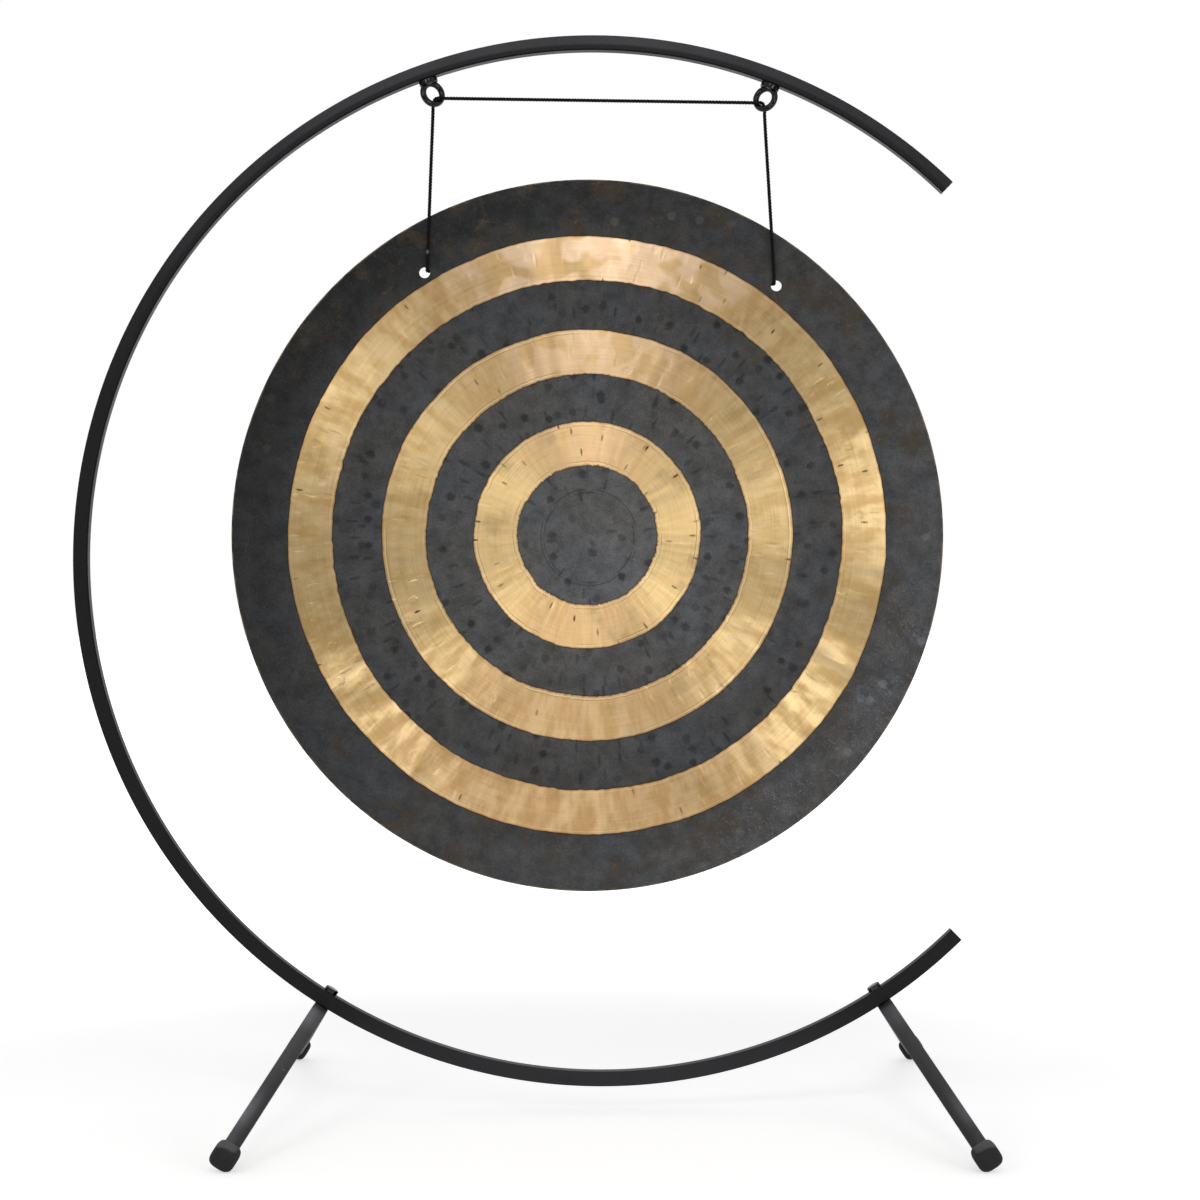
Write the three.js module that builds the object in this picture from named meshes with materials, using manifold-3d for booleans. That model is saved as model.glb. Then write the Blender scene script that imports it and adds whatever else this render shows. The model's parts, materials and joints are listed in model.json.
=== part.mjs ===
// A gong on its stand. A square steel bar is bent into a C that opens to the right. Two bent feet
// are bolted under it, and a flat brass gong hangs inside it on one loop of cord, from two eye bolts.
// Millimetres, +Z up. The front faces -Y, and the origin is on the floor under the middle of the box
// that the stand fills.

import * as THREE from 'three';
import { RoundedBoxGeometry } from 'three/addons/geometries/RoundedBoxGeometry.js';
import { mergeVertices } from 'three/addons/utils/BufferGeometryUtils.js';
import Module from 'manifold-3d';

const wasm = await Module();
wasm.setup();

// Clearances that every piece uses
const seatGap = 0.3; // air between two pieces that rest on each other
const cutOverrun = 3; // how far a cutter runs past the face that it opens
const roundSides = 16; // sides of a shank and of the hole that it goes through

// The C-shaped ring, bent from square bar. Angles on it are clockwise from straight up.
const barSize = 12.7;
const barEdge = 1; // rounding of the bar's long edges
const ringRadius = 446.1; // to the outer face, on average
const ringStart = THREE.MathUtils.degToRad(136.1); // the lower end at the mouth
const ringSweep = THREE.MathUtils.degToRad(267.1); // from there to the upper end
const ringSegments = 120;
// The gong's weight pulls the ring a little out of round: cosine and sine shares of its radius, for
// one, two and three waves, counted anticlockwise from the right
const ringSagShares = [[-0.0036, -0.001], [-0.0037, -0.0044], [-0.0011, -0.0012]];

// The eye bolts, screwed into blind holes in the ring's inner face
const eyeAngles = { left: THREE.MathUtils.degToRad(-19.4), right: THREE.MathUtils.degToRad(20.05) };
const eyeTurn = THREE.MathUtils.degToRad(33); // how far each eye is turned about its shank
const eyeLoopRadius = 9; // to the middle of the wire
const eyeWireRadius = 2.65;
const eyeWireSides = 10;
const eyeLoopSegments = 28;
const eyeHang = 13.1; // from the ring's inner face to the middle of the eye
const eyeCollarRadius = 8.15;
const eyeCollarHeight = 4.6;
const eyeCollarEdge = 0.7;
const eyeShankRadius = 3;
const eyeShankLength = 9;

// The feet, each one bent bar that stands square to the ring
const footAngles = { left: THREE.MathUtils.degToRad(-148.25), right: THREE.MathUtils.degToRad(147) };
const rightFootSlope = THREE.MathUtils.degToRad(21.2); // how steeply its legs drop away from the ring
const footReach = 254; // from the ring's middle plane to the end of each leg
const footFlatHalf = 15; // half the level stretch under the bolt
const footBendRadius = 25; // to the middle of the bar
const footBendSteps = 5;
const slopeTrials = 40;

// The rubber caps on the feet
const capWidth = 19.4;
const capLength = 17;
const capRounding = 5;
const capSocketDepth = 12.5;
const capFlatDepth = 0.8; // how much of each cap is pressed flat on the floor
const capSegments = 2;

// The bolt through the ring and each foot, with its spring washer and nut
const boltShankRadius = 3;
const boltHeadAcross = 10; // across the flats
const boltHeadHeight = 4;
const boltEndShows = 2; // thread past the nut
const nutHeight = 5;
const washerRadius = 5.6;
const washerHeight = 1.6;
const washerSlit = 0.8;

// The gong: a flat disc with a slight dome to the front, and three bands scraped bright
const gongRadius = 305;
const gongThickness = 1.6;
const gongDome = 12;
const gongSegments = 96;
const gongTurn = THREE.MathUtils.degToRad(2.13); // it hangs a little crooked, right side low
const gongShift = -8.4; // of its centre from the ring's centre, to the right
const gongRise = 22.1; // of its centre above the ring's centre
const bandDepth = 0.25;
const bandShares = [[0.1954, 0.317], [0.4508, 0.5751], [0.7148, 0.839]]; // of the gong's radius
const backStationShares = [0.84, 0.66, 0.46, 0.23];
const holeRadius = 4.65;
const holeSpreadShare = 0.4938; // half the distance between the holes, as a share of the gong's radius
const holeShift = 3.1; // of the pair from the gong's upright middle line, to the right
const holeRiseShare = 0.7193; // from the gong's centre up to the line of the holes, the same way
const holeSides = 24;

// The cord, one loop of braid
const cordRadius = 1.3;
const cordSides = 8;
const capsuleSteps = 4;
const bendSteps = 6; // points on the cord's bend at each eye and each hole
const eyeWrapAround = [95, 60].map(THREE.MathUtils.degToRad); // down the eye from its inner side
const eyeWrapOver = [90, 238].map(THREE.MathUtils.degToRad); // from behind the wire, through the eye
const holeWrapAround = [30, 72].map(THREE.MathUtils.degToRad); // round the hole from its top, inwards
const holeWrapOver = [-65, 90].map(THREE.MathUtils.degToRad); // from before the gong to behind it
const knotRadius = 4;
const knotPlaceShare = 0.35; // along the run behind the gong, from its middle
const tailLength = 24;

const black = { color: 0x26262a, roughness: 0.5, metalness: 0.4 };
const blackGloss = { color: 0x141416, roughness: 0.25, metalness: 0.6 };
const blackSatin = { color: 0x3a3a3f, roughness: 0.55, metalness: 0.3 };
const rubber = { color: 0x2c2c2d, roughness: 0.85, metalness: 0 };
const brass = { color: 0x7d6a45, roughness: 0.4, metalness: 0.9 };
const braid = { color: 0x101012, roughness: 0.9, metalness: 0 };

function mesh(name, geometry, finish) {
  const piece = new THREE.Mesh(geometry, new THREE.MeshStandardMaterial(finish));
  piece.name = name;
  return piece;
}

function solidOf(geometry) {
  const bare = geometry.clone();
  bare.deleteAttribute('normal');
  bare.deleteAttribute('uv');
  const merged = mergeVertices(bare);
  return new wasm.Manifold(new wasm.Mesh({
    numProp: 3,
    vertProperties: new Float32Array(merged.attributes.position.array),
    triVerts: new Uint32Array(merged.index.array),
  }));
}

function geometryOf(solid) {
  const { vertProperties, triVerts } = solid.getMesh();
  const geometry = new THREE.BufferGeometry();
  geometry.setAttribute('position', new THREE.BufferAttribute(vertProperties, 3));
  geometry.setIndex(new THREE.BufferAttribute(triVerts, 1));
  geometry.computeVertexNormals();
  return geometry;
}

function cut(geometry, ...cutters) {
  return geometryOf(cutters.reduce((solid, cutter) => solid.subtract(solidOf(cutter)), solidOf(geometry)));
}

function join(geometry, ...others) {
  return geometryOf(others.reduce((solid, other) => solid.add(solidOf(other)), solidOf(geometry)));
}

// A round or six-sided bar along Z, between two heights
function post(radius, from, to, sides = roundSides) {
  const bar = new THREE.CylinderGeometry(radius, radius, to - from, sides);
  bar.rotateX(Math.PI / 2);
  bar.translate(0, 0, (from + to) / 2);
  return bar;
}

function hexPost(across, from, to) {
  return post(across / 2 / Math.cos(Math.PI / 6), from, to, 6);
}

// An outline pushed out to the bar's width with its long edges rounded, centred on its own plane
function barFrom(outline, curveSegments) {
  const bar = new THREE.ExtrudeGeometry(outline, {
    depth: barSize - 2 * barEdge,
    bevelThickness: barEdge,
    bevelSize: barEdge,
    bevelOffset: -barEdge,
    bevelSegments: 1,
    curveSegments,
  });
  bar.translate(0, 0, barEdge - barSize / 2);
  return bar;
}

// From the ring's centre to its outer face at an angle
function ringOuter(angle) {
  const turn = Math.PI / 2 - angle;
  let share = 1;
  ringSagShares.forEach(([cosine, sine], wave) => {
    share += cosine * Math.cos((wave + 1) * turn) + sine * Math.sin((wave + 1) * turn);
  });
  return ringRadius * share;
}

// Which way the ring's outer face looks at an angle
function ringFacing(angle) {
  const nudge = ringSweep / ringSegments;
  const rise = ringOuter(angle + nudge) - ringOuter(angle - nudge);
  return angle - Math.atan(rise / (2 * nudge * ringOuter(angle)));
}

// A point on the ring at a depth under its outer face, from the ring's centre
function ringPoint(angle, depth) {
  const facing = ringFacing(angle);
  return new THREE.Vector2(
    ringOuter(angle) * Math.sin(angle) - depth * Math.sin(facing),
    ringOuter(angle) * Math.cos(angle) - depth * Math.cos(facing),
  );
}

function ringEdge(depth) {
  const edge = [];
  for (let step = 0; step <= ringSegments; step += 1) {
    edge.push(ringPoint(ringStart + ringSweep * step / ringSegments, depth));
  }
  return edge;
}

// The ring's centre is where the stand's box has its middle at X 0
function ringCentreAcross() {
  const across = ringEdge(0).map((point) => point.x);
  return -(Math.min(...across) + Math.max(...across)) / 2;
}

// A frame on the ring's outer face at an angle, with +Z pointing straight out of it
function ringSeat(angle) {
  const frame = new THREE.Group();
  const point = ringPoint(angle, 0);
  frame.position.set(ringCentreX + point.x, 0, ringCentreHeight + point.y);
  frame.rotation.y = ringFacing(angle);
  frame.updateMatrixWorld();
  return frame;
}

// How far a foot's middle line has dropped away from its level stretch at the end of the leg
function legDrop(slope) {
  const run = footReach - footFlatHalf - footBendRadius * Math.sin(slope);
  return run * Math.tan(slope) + footBendRadius * (1 - Math.cos(slope));
}

// The middle of a cap in its foot's frame: how far along Y, and how far out from the ring
function capPlace(slope) {
  const beyond = capLength / 2 - capSocketDepth + seatGap;
  return {
    along: footReach + beyond * Math.cos(slope),
    out: footMiddle + legDrop(slope) + beyond * Math.sin(slope),
  };
}

// How far the flats of a foot's caps lie under the ring's centre
function footDepth(angle, slope) {
  const lean = Math.abs(Math.sin(ringFacing(angle)));
  const upright = -Math.cos(ringFacing(angle));
  const acrossShare = upright * Math.cos(slope) + lean;
  const alongShare = upright * Math.sin(slope);
  const capBelow = (capWidth / 2 - capRounding) * acrossShare
    + (capLength / 2 - capRounding) * alongShare + capRounding;
  return capPlace(slope).out * upright - ringPoint(angle, 0).y + capBelow - capFlatDepth;
}

// The slope that brings a foot's caps down to the depth of the other foot's
function slopeReaching(depth, angle) {
  let low = 0;
  let high = 2 * rightFootSlope;
  for (let trial = 0; trial < slopeTrials; trial += 1) {
    const middle = (low + high) / 2;
    if (footDepth(angle, middle) < depth) {
      low = middle;
    } else {
      high = middle;
    }
  }
  return (low + high) / 2;
}

const holeSpread = holeSpreadShare * gongRadius;
const holeRise = holeRiseShare * gongRadius;
const footMiddle = seatGap + barSize / 2; // from the ring's outer face to the middle of a foot's bar
const ringCentreX = ringCentreAcross();
const ringCentreHeight = footDepth(footAngles.right, rightFootSlope);
const footSlopes = { left: slopeReaching(ringCentreHeight, footAngles.left), right: rightFootSlope };

function ringBar() {
  const bar = barFrom(new THREE.Shape([...ringEdge(0), ...ringEdge(barSize).reverse()]), 1);
  bar.rotateX(Math.PI / 2);
  bar.translate(ringCentreX, 0, ringCentreHeight);
  const eyeHoles = Object.values(eyeAngles).map((angle) => {
    const hole = post(eyeShankRadius + seatGap, -barSize - cutOverrun, eyeShankLength + seatGap - barSize);
    return hole.applyMatrix4(ringSeat(angle).matrixWorld);
  });
  const boltHoles = Object.values(footAngles).map((angle) => {
    const hole = post(boltShankRadius + seatGap, -barSize - cutOverrun, cutOverrun);
    return hole.applyMatrix4(ringSeat(angle).matrixWorld);
  });
  return cut(bar, ...eyeHoles, ...boltHoles);
}

// An eye bolt with its collar against the ring's inner face, in its seat's frame
function eyeBolt(turn) {
  const collarTop = -barSize - seatGap;
  const collarFoot = collarTop - eyeCollarHeight;
  const shankTop = eyeShankLength - barSize;
  const profile = [
    [0, collarFoot],
    [eyeCollarRadius - eyeCollarEdge, collarFoot],
    [eyeCollarRadius, collarFoot + eyeCollarEdge],
    [eyeCollarRadius, collarTop - eyeCollarEdge],
    [eyeCollarRadius - eyeCollarEdge, collarTop],
    [eyeShankRadius, collarTop],
    [eyeShankRadius, shankTop],
    [0, shankTop],
  ].map(([radius, height]) => new THREE.Vector2(radius, height));
  const body = new THREE.LatheGeometry(profile, roundSides);
  body.rotateX(Math.PI / 2);
  const loop = new THREE.TorusGeometry(eyeLoopRadius, eyeWireRadius, eyeWireSides, eyeLoopSegments);
  loop.rotateX(Math.PI / 2);
  loop.rotateZ(turn);
  loop.translate(0, 0, -barSize - eyeHang);
  return join(body, loop);
}

function footBolt() {
  const headTop = -barSize - seatGap;
  return join(
    hexPost(boltHeadAcross, headTop - boltHeadHeight, headTop),
    post(boltShankRadius, headTop - boltHeadHeight / 2, nutPlace() + nutHeight + boltEndShows),
  );
}

// Where the spring washer and then the nut start, out from the ring
function washerPlace() {
  return footMiddle + barSize / 2 + seatGap;
}

function nutPlace() {
  return washerPlace() + washerHeight + seatGap;
}

function springWasher() {
  const start = washerPlace();
  const ring = post(washerRadius, start, start + washerHeight);
  const bore = post(boltShankRadius + seatGap, start - cutOverrun, start + washerHeight + cutOverrun);
  const slit = new THREE.BoxGeometry(washerRadius + cutOverrun, washerSlit, washerHeight + cutOverrun);
  slit.translate((washerRadius + cutOverrun) / 2, 0, start + washerHeight / 2);
  return cut(ring, bore, slit);
}

function footNut() {
  const start = nutPlace();
  const bore = post(boltShankRadius + seatGap, start - cutOverrun, start + nutHeight + cutOverrun);
  return cut(hexPost(boltHeadAcross, start, start + nutHeight), bore);
}

// One edge of a foot's side view, from the front leg's end to the rear leg's end
function footEdge(slope, offset) {
  const radius = footBendRadius - offset;
  const half = [];
  for (let step = 0; step <= footBendSteps; step += 1) {
    const turn = slope * step / footBendSteps;
    half.push(new THREE.Vector2(
      footFlatHalf + radius * Math.sin(turn),
      footBendRadius - radius * Math.cos(turn),
    ));
  }
  half.push(new THREE.Vector2(
    footReach - offset * Math.sin(slope),
    legDrop(slope) + offset * Math.cos(slope),
  ));
  const front = half.map((point) => new THREE.Vector2(-point.x, point.y)).reverse();
  return [...front, ...half];
}

function footBar(slope) {
  const edges = [...footEdge(slope, -barSize / 2), ...footEdge(slope, barSize / 2).reverse()];
  const bar = barFrom(new THREE.Shape(edges), 1);
  bar.applyMatrix4(new THREE.Matrix4().makeBasis(
    new THREE.Vector3(0, 1, 0),
    new THREE.Vector3(0, 0, 1),
    new THREE.Vector3(1, 0, 0),
  ));
  bar.translate(0, 0, footMiddle);
  const boltHole = post(boltShankRadius + seatGap,
    footMiddle - barSize / 2 - cutOverrun, footMiddle + barSize / 2 + cutOverrun);
  return cut(bar, boltHole);
}

// A rubber cap on one leg. Side is -1 on the front leg and 1 on the rear one.
function rubberCap(name, frame, slope, side) {
  const place = capPlace(slope);
  const cap = mesh(name, new THREE.BufferGeometry(), rubber);
  cap.position.set(0, side * place.along, place.out);
  cap.rotation.x = side * slope;
  frame.add(cap);
  cap.updateWorldMatrix(true, false);
  const block = new RoundedBoxGeometry(capWidth, capLength, capWidth, capSegments, capRounding);
  const socketWidth = barSize + 2 * seatGap;
  const socket = new THREE.BoxGeometry(socketWidth, capSocketDepth + cutOverrun, socketWidth);
  socket.translate(0, -side * (capLength - capSocketDepth + cutOverrun) / 2, 0);
  const floor = new THREE.BoxGeometry(2 * capLength, 2 * capLength, capLength);
  floor.translate(cap.matrixWorld.elements[12], cap.matrixWorld.elements[13], -capLength / 2);
  floor.applyMatrix4(cap.matrixWorld.clone().invert());
  cap.geometry = cut(block, socket, floor);
}

// How high the gong's front face stands behind its rim's plane at a distance from its centre
function gongFace(radius) {
  return -gongDome * (1 - (radius / gongRadius) ** 2);
}

function gongDisc() {
  const front = [[0, gongFace(0)]];
  for (const [inner, outer] of bandShares.map((pair) => pair.map((share) => share * gongRadius))) {
    front.push([inner, gongFace(inner)], [inner, gongFace(inner) + bandDepth]);
    front.push([outer, gongFace(outer) + bandDepth], [outer, gongFace(outer)]);
  }
  front.push([gongRadius, gongFace(gongRadius)]);
  const back = [1, ...backStationShares, 0].map((share) => {
    const radius = share * gongRadius;
    return [radius, gongFace(radius) + gongThickness];
  });
  const profile = [...front, ...back].map(([radius, height]) => new THREE.Vector2(radius, height));
  const disc = new THREE.LatheGeometry(profile, gongSegments);
  const holes = [-holeSpread, holeSpread].map((across) => {
    const hole = new THREE.CylinderGeometry(holeRadius, holeRadius, 2 * gongDome, holeSides);
    return hole.translate(holeShift + across, 0, holeRise);
  });
  return cut(disc, ...holes);
}

// A curve whose steps follow its points, so that close points make a fine bend
class CordRoute extends THREE.CatmullRomCurve3 {
  getUtoTmapping(share) {
    return share;
  }
}

function cordAlong(points, stepsEach) {
  const section = new THREE.Shape();
  section.absarc(0, 0, cordRadius, 0, 2 * Math.PI, false);
  return new THREE.ExtrudeGeometry(section, {
    extrudePath: new CordRoute(points, false, 'centripetal'),
    steps: stepsEach * (points.length - 1),
    curveSegments: cordSides / 2,
    bevelEnabled: false,
  });
}

// A value part of the way from one end of a range to the other
function between([from, to], share) {
  return from + (to - from) * share;
}

// A point beside an eye's wire, where a cord just clears it. Around goes down the loop from its inner
// side, and over goes round the wire. Side is -1 on the left and 1 on the right.
function besideEye(side, around, over) {
  const reach = eyeWireRadius + cordRadius + seatGap;
  const outward = eyeLoopRadius + reach * Math.cos(over);
  const point = new THREE.Vector3(
    -side * outward * Math.cos(around),
    reach * Math.sin(over),
    -outward * Math.sin(around),
  );
  point.applyAxisAngle(new THREE.Vector3(0, 0, 1), -side * eyeTurn);
  point.z -= barSize + eyeHang;
  return ringSeat(side < 0 ? eyeAngles.left : eyeAngles.right).localToWorld(point);
}

// Where each drop of the cord starts to swing, just under its eye's wire
function swingPivot(side) {
  const pivot = besideEye(side, eyeWrapAround[0], eyeWrapOver[0]);
  pivot.z -= eyeWireRadius + cordRadius;
  return pivot;
}

// The gong hangs with its weight straight under the cord
function gongFrame() {
  const frame = new THREE.Group();
  frame.position.set(
    ringCentreX + gongShift,
    swingPivot(1).y + (gongDome - gongThickness) / 2,
    ringCentreHeight + gongRise,
  );
  frame.rotation.y = gongTurn;
  frame.updateMatrixWorld();
  return frame;
}

// Where the gong turns on each drop, in the gong's frame: above the hole and in front of the face
function tiltPivotOnGong(side) {
  return new THREE.Vector3(
    holeShift + side * (holeSpread - holeRadius / 2),
    (gongThickness - gongDome) / 2,
    holeRise + holeRadius + 2 * cordRadius,
  );
}

// A straight taut drop with round ends, from its swing pivot to its tilt pivot
function cordDrop(side, gong) {
  const top = swingPivot(side);
  const foot = gong.localToWorld(tiltPivotOnGong(side));
  const length = top.distanceTo(foot);
  const drop = mesh(side < 0 ? 'cord_drop_left' : 'cord_drop_right',
    new THREE.CapsuleGeometry(cordRadius, length, capsuleSteps, cordSides), braid);
  drop.position.lerpVectors(top, foot, 1 / 2);
  drop.quaternion.setFromUnitVectors(new THREE.Vector3(0, 1, 0), top.clone().sub(foot).normalize());
  return drop;
}

// The run between the eyes. At each end it goes in front of the eye's inner wire, through the eye and
// down behind its lower wire.
function topRunEnd(side) {
  const stub = swingPivot(side);
  stub.z += cordRadius + seatGap;
  const route = [stub];
  for (let step = 0; step <= bendSteps; step += 1) {
    const share = step / bendSteps;
    route.push(besideEye(side, between(eyeWrapAround, share), between(eyeWrapOver, share)));
  }
  return route;
}

function topRun() {
  const left = topRunEnd(-1);
  const right = topRunEnd(1);
  const inward = right[right.length - 1].clone().sub(left[left.length - 1]).setLength(eyeLoopRadius);
  const leftStraight = left[left.length - 1].clone().add(inward);
  const rightStraight = right[right.length - 1].clone().sub(inward);
  return cordAlong([...left, leftStraight, rightStraight, ...right.reverse()], 2);
}

// A point beside the edge of the right hole in the gong, where a cord just clears it, with the middle
// of the pair of holes at X 0. Around goes round the hole from its top, and over goes round its edge.
function besideHole(around, over) {
  const reach = gongThickness / 2 * Math.SQRT2 + cordRadius + seatGap;
  const outward = holeRadius + gongThickness / 2 - reach * Math.cos(over);
  return new THREE.Vector3(
    holeSpread - outward * Math.sin(around),
    gongFace(Math.hypot(holeSpread, holeRise)) + gongThickness / 2 + reach * Math.sin(over),
    holeRise + outward * Math.cos(around),
  );
}

// The run behind the gong. At each end it comes through the hole from the front, round the hole's
// upper inner edge. Its knot lies behind the gong, with two tails.
function backRun() {
  const stub = tiltPivotOnGong(1);
  stub.x -= holeShift;
  stub.z -= cordRadius + seatGap;
  const bendStart = stub.clone();
  bendStart.z -= cordRadius / 2;
  const rightEnd = [stub, bendStart];
  for (let step = 0; step <= bendSteps; step += 1) {
    const share = step / bendSteps;
    rightEnd.push(besideHole(between(holeWrapAround, share), between(holeWrapOver, share)));
  }
  const straight = rightEnd[rightEnd.length - 1].clone();
  straight.x -= holeRadius;
  rightEnd.push(straight);
  const leftEnd = rightEnd.map((point) => new THREE.Vector3(-point.x, point.y, point.z));
  const run = cordAlong([...rightEnd, ...leftEnd.reverse()], 2);
  const knotAt = straight.clone();
  knotAt.x = -knotPlaceShare * holeSpread;
  const knot = new THREE.SphereGeometry(knotRadius, roundSides, roundSides / 2);
  knot.translate(knotAt.x, knotAt.y, knotAt.z);
  const tails = [-1, 1].map((side) => {
    const end = knotAt.clone();
    end.x += side * knotRadius;
    end.z -= tailLength;
    const bend = knotAt.clone().lerp(end, 1 / 2);
    bend.x += side * cordRadius;
    return cordAlong([knotAt, bend, end], 3);
  });
  return join(run, knot, ...tails).translate(holeShift, 0, 0);
}

function addStand(part) {
  part.add(mesh('ring_bar', ringBar(), black));
  for (const [label, side] of [['left', -1], ['right', 1]]) {
    const eyeSeat = ringSeat(eyeAngles[label]);
    eyeSeat.add(mesh(`eye_bolt_${label}`, eyeBolt(-side * eyeTurn), blackGloss));
    part.add(eyeSeat);
    const footSeat = ringSeat(footAngles[label]);
    part.add(footSeat);
    footSeat.add(mesh(`foot_bar_${label}`, footBar(footSlopes[label]), blackSatin));
    footSeat.add(mesh(`foot_bolt_${label}`, footBolt(), blackGloss));
    footSeat.add(mesh(`foot_spring_washer_${label}`, springWasher(), blackGloss));
    footSeat.add(mesh(`foot_nut_${label}`, footNut(), blackGloss));
    rubberCap(`rubber_cap_front_${label}`, footSeat, footSlopes[label], -1);
    rubberCap(`rubber_cap_rear_${label}`, footSeat, footSlopes[label], 1);
  }
}

function addGong(part) {
  const gong = gongFrame();
  gong.add(mesh('gong_disc', gongDisc(), brass));
  gong.add(mesh('cord_back_run', backRun(), braid));
  part.add(mesh('cord_top_run', topRun(), braid));
  part.add(cordDrop(-1, gong), cordDrop(1, gong));
  part.add(gong);
}

const group = new THREE.Group();
addStand(group);
addGong(group);

export default group;
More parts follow.
